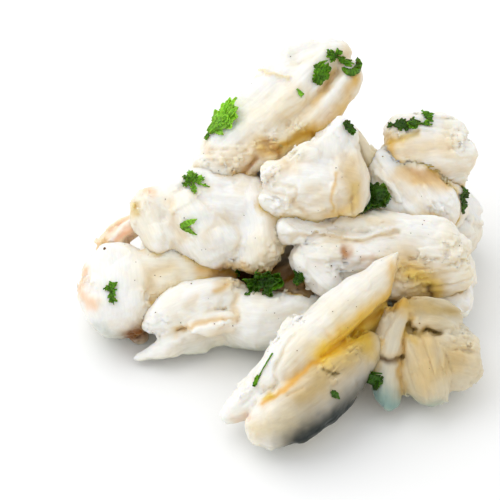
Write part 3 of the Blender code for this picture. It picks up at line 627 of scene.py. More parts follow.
def top_lump():
    """The long lump on top at the back, with a smooth band along its right side."""
    muscles = muscles_on_slope(
        ((-13.8, 17.8, -8.6), (1.0, 30.2, -8.8), (19.8, 47.4, -12.4), (4.4, 7.3, 5.6)),
        ((21.9, 42.4, -9.6), (17.2, 32.8, -6.6), (3.6, 21.8, -6.4), (3.1, 3.7, 3.2)),
        ((-14.6, 18.8, -6.8), (-7.0, 18.6, -6.2), (1.4, 19.4, -6.4), (3.6, 4.6, 4.0)),
        ((-2.6, 21.2, -5.4), (1.8, 22.0, -4.6), (6.8, 23.0, -5.4), (2.9, 3.5, 2.8)),
        ((0.2, 38.4, -10.6), (9.8, 42.2, -10.2), (20.8, 44.4, -11.0), (3.0, 4.6, 4.2)),
    )
    # Painted shade: the tan in the crease, at the top end, on the middle and at the lower left, and the
    # honey along the right edge. The gold and amber in the creases, on the band and under the curled leaf
    # are butter with painted shade.
    marks = (
        Mark(((18.4, 40.0), (15.0, 35.4), (11.0, 30.6), (7.0, 27.6)), 1.2, -0.5, TAN_SHADE, 0.45),
        Mark(((22.0, 45.5), (19.0, 43.0)), 1.8, 0, TAN_SHADE, 0.6),
        Mark(((1.6, 21.6), (8.0, 24.0), (12.0, 25.6)), 2.0, 0, BUTTER, 0.9),
        Mark(((12.0, 25.6), (15.0, 27.6), (18.6, 30.6)), 1.8, 0, GOLD_BUTTER_AND_SHADE, 0.6),
        Mark(((18.6, 31.0), (20.6, 34.6), (22.4, 38.6)), 1.5, 0, HONEY_SHADE, 0.6),
        Mark(((17.6, 39.4), (15.4, 35.7), (13.0, 32.6)), 1.0, -0.2, GOLD_BUTTER_AND_SHADE, 0.6),
        Mark(((22.6, 39.4), (22.8, 38.4)), 1.2, 0, GOLD_BUTTER_AND_SHADE, 0.8),
        Mark(((-3.0, 17.6), (1.8, 21.4), (7.6, 24.0), (13.0, 26.0)), 1.0, -0.3, AMBER_BUTTER_AND_SHADE, 0.6),
        Mark(((2.2, 23.4), (4.6, 21.4)), 1.1, -0.6, AMBER_BUTTER_AND_SHADE, 0.9),
        Mark(((-6.0, 16.2), (-3.0, 16.8), (-0.6, 19.0)), 0.8, -0.6, AMBER_BUTTER_AND_SHADE, 0.8),
        Mark(((-12.0, 23.4), (-10.6, 20.6)), 1.3, 0, TAN_SHADE, 0.4),
        Mark(((22.8, 38.0), (20.6, 33.0), (19.2, 29.4)), 0.9, 0, GOLD_BUTTER_AND_SHADE, 0.4),
        Mark(((8.0, 35.5), (12.5, 32.5)), 2.2, 0, TAN_SHADE, 0.35),
        Mark(((-1.4, 40.2), (3.0, 40.0), (6.8, 38.6)), 0.5, 0.9, BUTTER, 0.45),
        Mark(((-7.0, 19.0), (-2.0, 21.0), (1.0, 23.0)), 3.0, 0, TAN_SHADE, 0.55),
    )
    torn = ((-5.4, 18.6, 5.6), (2.6, 23.6, 4.6), (-11.0, 19.8, 3.6), (9.0, 27.0, 3.0))
    return Lump(
        "top_lump", 101, muscles, marks, flaky=0.1, fibrous=0.35, chunky=0.7, torn=torn, bundled=0.25,
    )


def behind_peak_lump():
    """The lump behind the peak, of which a narrow strip shows."""
    muscles = muscles_on_slope(
        ((18.2, 28.8, -9.0), (22.4, 22.8, -8.6), (24.6, 15.2, -9.0), (2.4, 3.2, 3.1)),
        ((8.0, 20.6, -15.0), (16.0, 17.8, -13.0), (23.0, 13.0, -11.6), (6.0, 6.6, 4.6)),
    )
    marks = (
        Mark(((19.5, 27.5), (23.0, 22.0), (25.0, 16.0)), 2.4, 0, OLIVE, 0.3),
    )
    return Lump("behind_peak_lump", 113, muscles, marks, flaky=0.1, shade=CREAM)


def leg_scrap():
    """The narrow scrap of leg meat that leans on the far left lump."""
    muscles = muscles_on_slope(
        ((-35.8, -1.8, -12.4), (-31.6, 2.4, -11.4), (-24.0, 7.0, -9.4), (2.0, 2.6, 2.7)),
        ((-35.4, 0.4, -12.8), (-33.8, 1.0, -12.2), (-30.0, 1.2, -12.4), (2.0, 2.4, 2.0)),
    )
    marks = (
        # The white streak stands for white fibres together with a painted highlight.
        Mark(((-34.6, -0.6), (-33.0, 0.6)), 1.4, 0, ORANGE, 0.8),
        Mark(((-33.6, 1.6), (-30.0, 4.6), (-26.0, 7.6)), 0.7, 0.3, WHITE, 0.7),
        Mark(((-31.0, 1.6), (-28.0, 4.0)), 0.8, 0, ORANGE, 0.5),
    )
    torn = ((-34.4, -0.4, 2.0), (-27.0, 5.0, 2.6))
    return Lump("leg_scrap", 127, muscles, marks, flaky=0.3, fibrous=1.6, torn=torn, shade=BLUSH, flats=0)


def inner_lump(name, seed, *rows, marks=(), shade=WHITE):
    """A lump underneath or at the back. Each row is a start, middle and end by x, y and z, and widths."""
    muscles = tuple(Muscle(tuple(np.array(point) for point in spine), widths) for *spine, widths in rows)
    return Lump(name, seed, muscles, marks, flats=3, bundled=1.5, shade=shade, stride=STRIDES)


def inner_lumps():
    """The lumps underneath and at the back that hold the others up."""
    return (
        inner_lump(
            "centre_lump",
            131,
            ((-1.0, -2.0, 7.6), (14.0, 5.0, 8.4), (30.0, 8.0, 7.6), (7.0, 9.2, 7.8)),
            ((0.0, 6.0, 10.0), (10.0, 12.0, 14.0), (22.0, 15.0, 15.0), (6.0, 7.8, 7.2)),
            # The brown is the hollow's painted shade, with some juice.
            marks=(Mark(((-14.0, -5.0), (0.0, -7.5), (14.0, -8.0)), 7.0, 0, BROWN, 1.0),),
            shade=CREAM,
        ),
        inner_lump(
            "left_inner_lump",
            139,
            ((-28.0, 18.0, 7.4), (-14.0, 13.0, 8.0), (0.0, 12.0, 9.0), (6.6, 8.8, 8.2)),
            ((-22.0, 22.0, 13.0), (-10.0, 20.0, 15.0), (2.0, 20.0, 16.0), (5.4, 7.2, 6.8)),
            # The brown is the hollow's painted shade, with some juice.
            marks=(Mark(((-14.0, -5.0), (0.0, -7.5), (8.0, -8.0)), 7.0, 0, BROWN, 1.0),),
        ),
        inner_lump(
            "right_inner_lump",
            149,
            ((25.0, 17.0, 8.4), (38.0, 11.0, 9.0), (51.0, 6.0, 8.0), (7.0, 9.8, 7.2)),
            ((30.0, 5.0, 7.0), (40.0, 2.0, 8.0), (50.0, -1.0, 7.5), (6.0, 7.8, 6.2)),
        ),
        inner_lump(
            "under_top_lump",
            151,
            ((-10.0, 31.0, 23.0), (5.0, 37.0, 27.5), (19.0, 39.0, 27.0), (7.0, 8.8, 7.2)),
            ((-7.0, 25.0, 21.0), (5.0, 27.0, 23.0), (17.0, 30.0, 23.0), (5.0, 6.8, 6.2)),
        ),
        inner_lump(
            "back_left_lump",
            163,
            ((-20.0, 27.0, 8.4), (-6.0, 33.0, 9.5), (9.0, 36.0, 9.0), (7.0, 10.2, 8.4)),
            ((-16.0, 34.0, 12.0), (-6.0, 38.0, 14.0), (4.0, 42.0, 12.0), (5.6, 7.8, 6.2)),
        ),
        inner_lump(
            "back_middle_lump",
            167,
            ((7.0, 40.0, 9.0), (17.0, 36.0, 9.5), (28.0, 29.0, 8.6), (7.6, 10.2, 7.4)),
            ((11.0, 28.0, 15.0), (19.0, 29.0, 17.0), (28.0, 26.0, 14.0), (6.0, 7.8, 6.0)),
        ),
        inner_lump(
            "back_right_inner_lump",
            173,
            ((29.0, 31.0, 8.8), (40.0, 26.0, 10.2), (52.0, 18.0, 9.0), (7.0, 11.0, 8.2)),
            ((32.0, 22.0, 17.0), (40.0, 20.0, 20.0), (49.0, 18.0, 18.0), (5.4, 7.4, 6.2)),
        ),
    )


def lumps():
    """All the lumps, the ones that keep their whole shape first: a later one is trimmed to fit."""
    whole = (
        front_lump(),
        front_right_lump(),
        right_lump(),
        peak_lump(),
        front_left_lump(),
        middle_left_lump(),
        left_lump(),
        upper_right_lump(),
        back_right_lump(),
        top_lump(),
        behind_peak_lump(),
        leg_scrap(),
        *inner_lumps(),
    )
    return tuple(broken(lump) for lump in whole)


def broken(lump):
    """The lump with its flats."""
    chance = random.Random(lump.seed)
    muscles = tuple(with_flats(muscle, lump.flats, chance) for muscle in lump.muscles)
    return replace(lump, muscles=muscles)


# --- Fields: how far a point is from a muscle's surface, in mm, negative inside it ---


def rising(away, reach):
    """0 at no distance, 1 from the reach on."""
    return np.clip(away / reach, 0, 1)


def falling(away, reach):
    """1 at no distance, 0 from the reach on."""
    return np.clip(1 - away / reach, 0, 1)


def melted(first, second, reach):
    """The lower of two fields, and lower still where they are less than the reach apart."""
    return np.minimum(first, second) - 0.25 * reach * falling(np.abs(first - second), reach) ** 2


def along_arc(values, share):
    """The value at this share of the way along an arc through three values."""
    first, middle, last = values
    return (
        first * (1 - share) * (1 - 2 * share)
        + middle * 4 * share * (1 - share)
        + last * share * (2 * share - 1)
    )


def spine_places(muscle, points):
    """For each point, the nearest share of the muscle's length, and how far off the spine it is."""
    nearest = np.full(len(points), np.inf)
    shares = np.zeros(len(points))
    ends = [along_arc(muscle.spine, stop) for stop in np.linspace(0, 1, SPINE_PIECES + 1)]
    for number, (start, end) in enumerate(zip(ends, ends[1:])):
        ahead = end - start
        offset = points - start
        part = np.clip(offset @ ahead / (ahead @ ahead), 0, 1)
        offset -= part[:, None] * ahead
        away = np.einsum("ij,ij->i", offset, offset)
        closer = away < nearest
        nearest[closer] = away[closer]
        shares[closer] = (number + part[closer]) / SPINE_PIECES
    return shares, np.sqrt(nearest)


def muscle_radius(muscle, shares):
    """How thick the muscle is at these shares of its length."""
    fullness = (1 - np.abs(2 * shares - 1) ** BLUNTNESS) ** (1 / BLUNTNESS)
    return fullness * along_arc(muscle.widths, shares)


def muscle_field(muscle, points):
    """How far each point is outside the muscle's surface."""
    shares, away = spine_places(muscle, points)
    values = away - muscle_radius(muscle, shares)
    for place, direction in muscle.flats:
        values = -melted(-values, -((points - place) @ direction), FLAT_EDGE)
    return values


def with_flats(muscle, count, chance):
    """The muscle with flats where flesh has broken off, most of them on the side toward the eye."""
    along = muscle.spine[2] - muscle.spine[0]
    along = along / np.linalg.norm(along)
    flats = []
    for _ in range(count):
        share = chance.uniform(*FLAT_SHARES)
        direction = np.array([chance.gauss(0, 1) for _ in range(3)]) + FLAT_LEAN * OUTWARD
        direction -= FLAT_SQUARENESS * (direction @ along) * along
        direction /= np.linalg.norm(direction)
        reach = (1 - chance.uniform(*FLAT_DEPTHS)) * muscle_radius(muscle, share)
        flats.append((along_arc(muscle.spine, share) + reach * direction, direction))
    return replace(muscle, flats=(*muscle.flats, *flats))


def grain_of(muscle, points):
    """Coordinates that follow the muscle: beside its spine, above it and along it, in mm."""
    shares, _ = spine_places(muscle, points)
    centres = along_arc([value[None, :] for value in muscle.spine], shares[:, None])
    chord = muscle.spine[2] - muscle.spine[0]
    side = np.cross(chord, OUTWARD)
    side /= np.linalg.norm(side)
    lift = np.cross(side, chord)
    lift /= np.linalg.norm(lift)
    offset = points - centres
    return np.stack((offset @ side, offset @ lift, shares * np.linalg.norm(chord)), axis=-1)


def each_muscle(lump, owners):
    """Each muscle that owns some of the points: its number, itself and which are its own."""
    for number, muscle in enumerate(lump.muscles):
        mine = owners == number
        if mine.any():
            yield number, muscle, mine


# --- Random patterns that are the same each run ---


def hashed(cells, seed):
    """A repeatable random number from 0 to 1 for each whole-number cell."""
    mixed = np.uint32(seed * 2654435761 % 2**32)
    for axis, factor in enumerate((374761393, 668265263, 2246822519)):
        mixed = (mixed ^ cells[..., axis].astype(np.uint32)) * np.uint32(factor)
        mixed ^= mixed >> np.uint32(15)
    return (mixed & np.uint32(0xFFFFFF)) / float(0xFFFFFF)


def soft_noise(points, seed):
    """Smooth noise from -1 to 1 that changes over a length of about one."""
    cell = np.floor(points).astype(np.int64)
    part = points - cell
    part = part * part * (3 - 2 * part)
    total = 0.0
    for corner in itertools.product((0, 1), repeat=3):
        weight = np.prod(np.where(corner, part, 1 - part), axis=-1)
        total = total + weight * hashed(cell + np.array(corner), seed)
    return 2 * total - 1


def warped(points, warp, seed):
    """The points pushed about by smooth noise of this size and reach."""
    size, reach = warp
    push = np.stack([soft_noise(points / size, seed + axis) for axis in range(3)], axis=-1)
    return points + reach * push


def flake_pattern(points, seed):
    """For each point, its flake's own random number, and how near the flake's edge it is."""
    cell = np.floor(points).astype(np.int64)
    first = np.full(len(points), np.inf)
    second = np.full(len(points), np.inf)
    own = np.zeros(len(points))
    for step in itertools.product((-1, 0, 1), repeat=3):
        neighbour = cell + np.array(step)
        jitter = np.stack([hashed(neighbour, seed + axis) for axis in range(3)], axis=-1)
        away = np.linalg.norm(neighbour + jitter - points, axis=-1)
        closer = away < first
        second = np.where(closer, first, np.minimum(second, away))
        own = np.where(closer, hashed(neighbour, seed + 3), own)
        first = np.where(closer, away, first)
    return own, second - first


def plates(pattern, sizes):
    """Plates at odd heights with rounded edges and gaps between them."""
    own, edge = pattern
    step, rounding, gap, gap_width = sizes
    return step * (own - 0.5) * rising(edge, rounding) - gap * falling(edge, gap_width)


def slow_crags(points, seed):
    """The crags that the solid has too."""
    offset = np.array((seed * 3.7, seed * 1.3, seed * 2.1))
    rise = np.zeros(len(points))
    for size, height in CRAGS:
        rise += height * np.array([noise.noise(place) for place in (points / size + offset).tolist()])
    return rise


# --- The lumps on the lattice ---


def lattice_points(start, shape, stride):
    """The places of every so many lattice points of a box, in mm."""
    axes = [LATTICE_STEP * (start[axis] + stride * np.arange(shape[axis])) for axis in range(3)]
    return np.stack(np.meshgrid(*axes, indexing="ij"), axis=-1)


def box_around(muscles):
    """The box, in numbers of strides, that holds these muscles and some room around them."""
    low = np.full(3, np.inf)
    high = np.full(3, -np.inf)
    for muscle in muscles:
        room = max(muscle.widths) + ROOM_AROUND
        for stop in np.linspace(0, 1, SPINE_PIECES + 1):
            centre = along_arc(muscle.spine, stop)
            low = np.minimum(low, centre - room)
            high = np.maximum(high, centre + room)
    step = LATTICE_STEP * STRIDES
    return np.floor(low / step).astype(int), np.ceil(high / step).astype(int)


def muscle_fields(lump):
    """Where the lump's box starts, and at every second point its two lowest muscle fields and owner."""
    low, high = box_around(lump.muscles)
    shape = tuple(high - low)
    lowest = np.full(shape, FAR_AWAY)
    second = np.full(shape, FAR_AWAY)
    owner = np.zeros(shape, np.int8)
    for number, muscle in enumerate(lump.muscles):
        first, last = box_around((muscle,))
        part = tuple(slice(a, b) for a, b in zip(first - low, last - low))
        places = lattice_points(STRIDES * first, last - first, STRIDES)
        values = muscle_field(muscle, places.reshape(-1, 3)).reshape(places.shape[:3])
        own, next_one = lowest[part], second[part]
        closer = values < own
        second[part] = np.where(closer, own, np.minimum(next_one, values))
        lowest[part] = np.where(closer, values, own)
        owner[part] = np.where(closer, number, owner[part])
    return STRIDES * low, lowest, second, owner


def refined(values):
    """The field at every lattice point, from the field at every second one."""
    for axis in range(3):
        lower = np.take(values, range(values.shape[axis] - 1), axis)
        upper = np.take(values, range(1, values.shape[axis]), axis)
        shape = list(lower.shape)
        shape[axis] *= 2
        values = np.stack((lower, 0.5 * (lower + upper)), axis=axis + 1).reshape(shape)
    return values


def raw_block(lump):
    """The lump's field before its neighbours and the ground trim it, with all its relief."""
    start, lowest, second, owner = muscle_fields(lump)
    if lump.stride == 1:
        lowest, second = refined(lowest), refined(second)
        owner = owner.repeat(2, 0).repeat(2, 1).repeat(2, 2)[:-2, :-2, :-2]
    values = melted(lowest, second, lump.melt)
    slopes = np.stack(np.gradient(values, LATTICE_STEP * lump.stride), axis=-1)
    steep = np.linalg.norm(slopes, axis=-1)
    near = np.abs(values) < NEAR_SURFACE
    values[near] /= np.maximum(1, steep[near])
    points = lattice_points(start, values.shape, lump.stride)[near]
    facing = (slopes[near] @ OUTWARD) / np.maximum(steep[near], 1e-3)
    seams = falling(second[near] - lowest[near], SEAM_WIDTH)
    values[near] -= relief(lump, points, owner[near], seams, facing)
    if lump.stride == STRIDES:
        values = refined(values)
    return Block(start, values)


def relief(lump, points, owners, seams, facing):
    """How far the lump's surface stands out at these points."""
    rise = slow_crags(points, lump.seed)
    rise += fibre_relief(lump, points, owners)
    rise += flake_relief(lump, points)
    rise += lump.chunky * chunk_relief(lump, points)
    rise += lump.bundled * bundle_relief(lump, points, owners)
    for size, height in PITS:
        rise += height * soft_noise(points / size, lump.seed + PIT_SEED)
    open_seams = np.clip(0.2 + soft_noise(points / SEAM_STRETCH, lump.seed + SEAM_SEED), 0, 1)
    rise -= SEAM_DEPTH * open_seams * seams**2
    seen = wandering_places(points, lump.seed)
    torn = tornness(lump, seen)
    shredded = torn > 0
    rise[shredded] += torn[shredded] * shred_relief(lump, points[shredded], owners[shredded])
    for mark in lump.marks:
        if mark.rise:
            rise += mark.rise * mark_closeness(mark, seen) * np.clip(2 * facing, 0, 1)
    return rise


def fibre_relief(lump, points, owners):
    """Fine ridges along the muscles, stronger toward their torn ends."""
    rise = np.zeros(len(points))
    for number, muscle, mine in each_muscle(lump, owners):
        grain = grain_of(muscle, points[mine])
        length = np.linalg.norm(muscle.spine[2] - muscle.spine[0])
        ends = np.abs(2 * grain[:, 2] / length - 1) ** 6
        for size, height in FIBRES:
            stretched = grain / np.array((size, size, FIBRE_LENGTH))
            strength = height * (1 + FIBRE_END_GAIN * ends)
            rise[mine] += strength * soft_noise(stretched, lump.seed + number)
    return lump.fibrous * rise


def flake_relief(lump, points):
    """Flakes with steps between them: each flake stands a little higher or lower than the next."""
    places = warped(points, FLAKE_WARP, lump.seed + FLAKE_WARP_SEED) / FLAKE_SIZE
    own, edge = flake_pattern(places, lump.seed + FLAKE_SEED)
    return lump.flaky * (0.5 * (own - 0.5) + 0.25 * rising(edge, 0.5) - 0.25 * falling(edge, 0.12))


def tornness(lump, seen):
    """How torn the flesh is at these seen places, from 0 where it is smooth to 1."""
    amount = np.zeros(len(seen))
    for across, up, radius in lump.torn:
        away = np.hypot(seen[:, 0] - across, seen[:, 1] - up)
        amount = np.maximum(amount, np.clip(TORN_SHARPNESS * (1 - away / radius), 0, 1))
    return amount


def shred_relief(lump, points, owners):
    """Torn flesh: small flakes at odd heights with gaps between, and loose strands along the muscle."""
    rise = plates(flake_pattern(points / SHRED_SIZE, lump.seed + SHRED_SEED), SHRED_PLATES)
    for number, muscle, mine in each_muscle(lump, owners):
        stretched = grain_of(muscle, points[mine]) / np.array(STRAND_SIZE)
        rise[mine] += 0.4 - np.abs(soft_noise(stretched, lump.seed + STRAND_SEED + number))
    return rise


def bundle_relief(lump, points, owners):
    """Bundles of fibres that lie along each muscle, with shallow furrows between them."""
    size, reach = BUNDLE_WARP
    rise = np.zeros(len(points))
    for number, muscle, mine in each_muscle(lump, owners):
        stretched = grain_of(muscle, points[mine]) / np.array(BUNDLE_SIZE)
        stretched[:, 0] += reach * soft_noise(stretched / size, lump.seed + BUNDLE_WARP_SEED)
        rise[mine] = plates(flake_pattern(stretched, lump.seed + BUNDLE_SEED + number), BUNDLE_PLATES)
    return rise


def chunk_relief(lump, points):
    """Broad slanting facets, as where flesh has broken off along its grain."""
    places = warped(points, CHUNK_WARP, lump.seed + CHUNK_WARP_SEED) / CHUNK_SIZE
    own, edge = flake_pattern(places, lump.seed + CHUNK_SEED)
    angle = 2 * math.pi * own
    slant = np.cos(angle) * places[:, 0] + np.sin(angle) * places[:, 1] + np.cos(3 * angle) * places[:, 2]
    slant -= np.floor(slant)
    return 1.1 * (own - 0.5) * rising(edge, 0.35) + 0.3 * (slant - 0.5) * rising(edge, 0.2)


def wandering_places(points, seed):
    """Where the eye sees the points on the slope, wandering a little, so that no mark is ruled."""
    seen = seen_places(points)
    for size, reach in WANDERS:
        for axis in range(2):
            seen[:, axis] += reach * soft_noise(points / size, seed + WANDER_SEED + axis)
    return seen


def mark_closeness(mark, seen):
    """How near the seen places are to the mark's path: 1 on it, fading to 0 far from it."""
    away = np.full(len(seen), np.inf)
    for start, end in zip(mark.path, mark.path[1:]):
        ahead = np.array(end) - np.array(start)
        offset = seen - np.array(start)
        part = np.clip(offset @ ahead / (ahead @ ahead), 0, 1)
        away = np.minimum(away, np.linalg.norm(offset - part[:, None] * ahead, axis=1))
    return np.exp(-((away / mark.width) ** 2))


def overlap(first, second):
    """The slices of two blocks that hold the lattice points they share, or None."""
    low = np.maximum(first.start, second.start)
    high = np.minimum(first.start + first.values.shape, second.start + second.values.shape)
    if (low >= high).any():
        return None
    return tuple(
        tuple(slice(a, b) for a, b in zip(low - block.start, high - block.start))
        for block in (first, second)
    )


def trimmed(block, earlier):
    """The block's field, run into the creases beside the lumps before it, then cut back from them."""
    values = block.values.copy()
    for other in earlier:
        shared = overlap(block, other)
        if shared:
            mine, theirs = shared
            own, beside = values[mine], other.values[theirs]
            joined = melted(own, beside, RUN_IN) + RUN_IN_EDGE
            values[mine] = np.maximum(np.minimum(own, joined), -BITE - beside)
    heights = LATTICE_STEP * (block.start[2] + np.arange(values.shape[2]))
    return np.maximum(values, -heights)


# --- From a field to a mesh ---


def surface_of(values, start, step):
    """The field's zero surface as points in mm and quads, one point for each mixed cell."""
    inside = values < 0
    corners = [np.array(corner) for corner in itertools.product((0, 1), repeat=3)]
    size = np.array(values.shape) - 1
    count = np.zeros(size, np.int8)
    for corner in corners:
        count += inside[tuple(slice(a, a + n) for a, n in zip(corner, size))]
    mixed = (count > 0) & (count < 8)
    cells = np.argwhere(mixed)
    numbers = np.full(size, -1, np.int64)
    numbers[mixed] = np.arange(len(cells))
    total = np.zeros((len(cells), 3))
    crossings = np.zeros(len(cells))
    for first, second in itertools.combinations(corners, 2):
        if np.abs(second - first).sum() != 1:
            continue
        near = values[tuple((cells + first).T)]
        far = values[tuple((cells + second).T)]
        crossed = (near < 0) != (far < 0)
        share = near[crossed] / (near[crossed] - far[crossed])
        total[crossed] += first + share[:, None] * (second - first)
        crossings[crossed] += 1
    points = (start + (cells + total / crossings[:, None]) * step) * LATTICE_STEP
    return points, quads_between(inside, numbers)


def quads_between(inside, numbers):
    """A quad across each lattice edge that runs from inside to outside, facing out."""
    quads = []
    for axis in range(3):
        one, two = (axis + 1) % 3, (axis + 2) % 3
        lower = np.take(inside, range(inside.shape[axis] - 1), axis)
        upper = np.take(inside, range(1, inside.shape[axis]), axis)
        edges = np.argwhere(lower != upper)
        edges = edges[(edges[:, one] > 0) & (edges[:, two] > 0)]
        edges = edges[(edges[:, one] < numbers.shape[one]) & (edges[:, two] < numbers.shape[two])]
        rising_edge = lower[tuple(edges.T)]
        ring = []
        for back_one, back_two in ((1, 1), (0, 1), (0, 0), (1, 0)):
            cell = edges.copy()
            cell[:, one] -= back_one
            cell[:, two] -= back_two
            ring.append(numbers[tuple(cell.T)])
        ring = np.stack(ring, axis=-1)
        ring[~rising_edge] = ring[~rising_edge][:, ::-1]
        quads.append(ring)
    return np.concatenate(quads)


def largest_island(points, quads):
    """Keeps the part of a mesh with the most points that hang together."""
    label = np.arange(len(points))
    edges = np.concatenate([quads[:, [a, (a + 1) % 4]] for a in range(4)])
    while True:
        lowest = label[edges].min(axis=1)
        merged = label.copy()
        np.minimum.at(merged, edges[:, 0], lowest)
        np.minimum.at(merged, edges[:, 1], lowest)
        merged = merged[merged]
        if (merged == label).all():
            break
        label = merged
    names, counts = np.unique(label, return_counts=True)
    kept = label == names[counts.argmax()]
    renumbered = np.cumsum(kept) - 1
    return points[kept], renumbered[quads[kept[quads[:, 0]]]]


def to_metres(points):
    """Layout millimetres as metres from the heap's own origin."""
    return (points - HEAP_MIDDLE) * METRES_PER_MM


def new_piece(name, points, faces, material):
    """A smooth mesh object, in metres, that rides on the heap."""
    mesh = bpy.data.meshes.new(name)
    mesh.from_pydata(to_metres(points).tolist(), [], faces.tolist())
    mesh.update()
    mesh.polygons.foreach_set("use_smooth", [True] * len(mesh.polygons))
    mesh.materials.append(material)
    piece = bpy.data.objects.new(name, mesh)
    bpy.context.scene.collection.objects.link(piece)
    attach(piece, "root")
    return piece


def vertex_normals(piece):
    """The piece's vertex normals as rows."""
    normals = np.zeros(len(piece.data.vertices) * 3, np.float32)
    piece.data.vertex_normals.foreach_get("vector", normals)
    return normals.reshape(-1, 3)


def sampled(block, points):
    """A block's field at the lattice points nearest to these points, or far away outside it."""
    index = np.rint(points / LATTICE_STEP).astype(int) - block.start
    held = ((index >= 0) & (index < block.values.shape)).all(axis=1)
    found = np.full(len(points), FAR_AWAY)
    found[held] = block.values[tuple(index[held].T)]
    return found


def set_colours(piece, colours):
    """Stores a colour for each vertex."""
    layer = piece.data.attributes.new("colour_and_painted_light", "FLOAT_COLOR", "POINT")
    filled = np.concatenate((colours, np.ones((len(colours), 1))), axis=1)
    layer.data.foreach_set("color", filled.astype(np.float32).ravel())


def set_grain(piece, grain):
    """Stores the muscles' own coordinates for each vertex, so that the fine bump follows them."""
    layer = piece.data.attributes.new("grain", "FLOAT_VECTOR", "POINT")
    layer.data.foreach_set("vector", grain.astype(np.float32).ravel())


def mixed_in(colours, colour, amount):
    """The colours with another one mixed in by these amounts."""
    amount = np.clip(amount, 0, 1)[:, None]
    return colours * (1 - amount) + colour * amount


def surface_grain(lump, points):
    """The muscles' coordinates at each surface point, and how near a seam between two it lies."""
    fields = np.stack([muscle_field(muscle, points) for muscle in lump.muscles])
    grain = np.zeros((len(points), 3))
    for number, muscle, mine in each_muscle(lump, fields.argmin(axis=0)):
        grain[mine] = grain_of(muscle, points[mine]) + GRAIN_APART * number
    ordered = np.sort(fields, axis=0)
    return grain, falling(ordered[1] - ordered[0], 2 * SEAM_WIDTH)


def lump_colours(lump, points, normals, seams, others):
    """The lump's colours: its base, painted shade in seams, at contacts, away from the key light and below,
    and marks.
    """

    def patches(size, seed):
        return soft_noise(points / size, lump.seed + seed)

    drift = patches(DRIFT_SIZE, DRIFT_SEED)
    mottle = patches(MOTTLE_SIZE, MOTTLE_SEED)
    # Painted shade on the side turned away from the key light, in the open seams and where another lump
    # lies close.
    shade_away_from_key = np.clip(0.35 - normals @ TOWARD_KEY, 0, 1) * (0.7 + 0.5 * drift)
    open_seams = np.clip(0.3 + patches(SEAM_TINT_STRETCH, SEAM_SEED), 0, 1)
    contact_shade = falling(others, CONTACT_SHADE_REACH)
    patchy = np.clip(0.6 + 0.8 * patches(PATCH_SIZE, PATCH_SEED), 0.15, 1)
    # A cool painted shade on faces that turn down near the ground.
    low = falling(points[:, 2], UNDERSIDE_SHADE_HEIGHT) * np.clip(-normals[:, 2] * 1.5 + 0.3, 0, 1)
    tints = [
        (CREAM, 0.08 + 0.7 * np.clip(drift + 0.3 * mottle, -0.1, 1)),
        (TAN_SHADE, 0.6 * shade_away_from_key),
        (TAN_SHADE, 0.4 * open_seams * seams),
        (TAN_SHADE, 0.7 * contact_shade * patchy),
        (GOLD_BUTTER_AND_SHADE, 0.9 * contact_shade**3 * patchy),
        (COOL_SHADE, 0.5 * low),
    ]
    seen = wandering_places(points, lump.seed)
    facing = np.clip(2 * (normals @ OUTWARD) + 0.8, 0, 1)
    for mark in lump.marks:
        if mark.colour is not None:
            tints.append((mark.colour, mark.strength * mark_closeness(mark, seen) * facing))
    colours = np.tile(lump.shade, (len(points), 1))
    for colour, amount in tints:
        colours = mixed_in(colours, colour, amount)
    return colours


def dressed_lump(lump, values, start, others, material):
    """The lump's piece with its colours and grain."""
    stride = lump.stride
    points, quads = surface_of(values[::stride, ::stride, ::stride], start, stride)
    points, quads = largest_island(points, quads)
    piece = new_piece(lump.name + "_meat", points, quads, material)
    beside = np.min([sampled(other, points) for other in others], axis=0)
    grain, seams = surface_grain(lump, points)
    set_grain(piece, grain)
    set_colours(piece, lump_colours(lump, points, vertex_normals(piece), seams, beside))
    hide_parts(lump.name)
    return piece


def dress_lumps(material):
    """Every lump's piece by its name, each trimmed to miss the ones before it."""
    whole = lumps()
    raw = [raw_block(lump) for lump in whole]
    pieces = {}
    for number, (lump, block) in enumerate(zip(whole, raw)):
        values = trimmed(block, raw[:number])
        others = raw[:number] + raw[number + 1 :]
        pieces[lump.name] = dressed_lump(lump, values, block.start, others, material)
    return pieces


# --- Materials ---


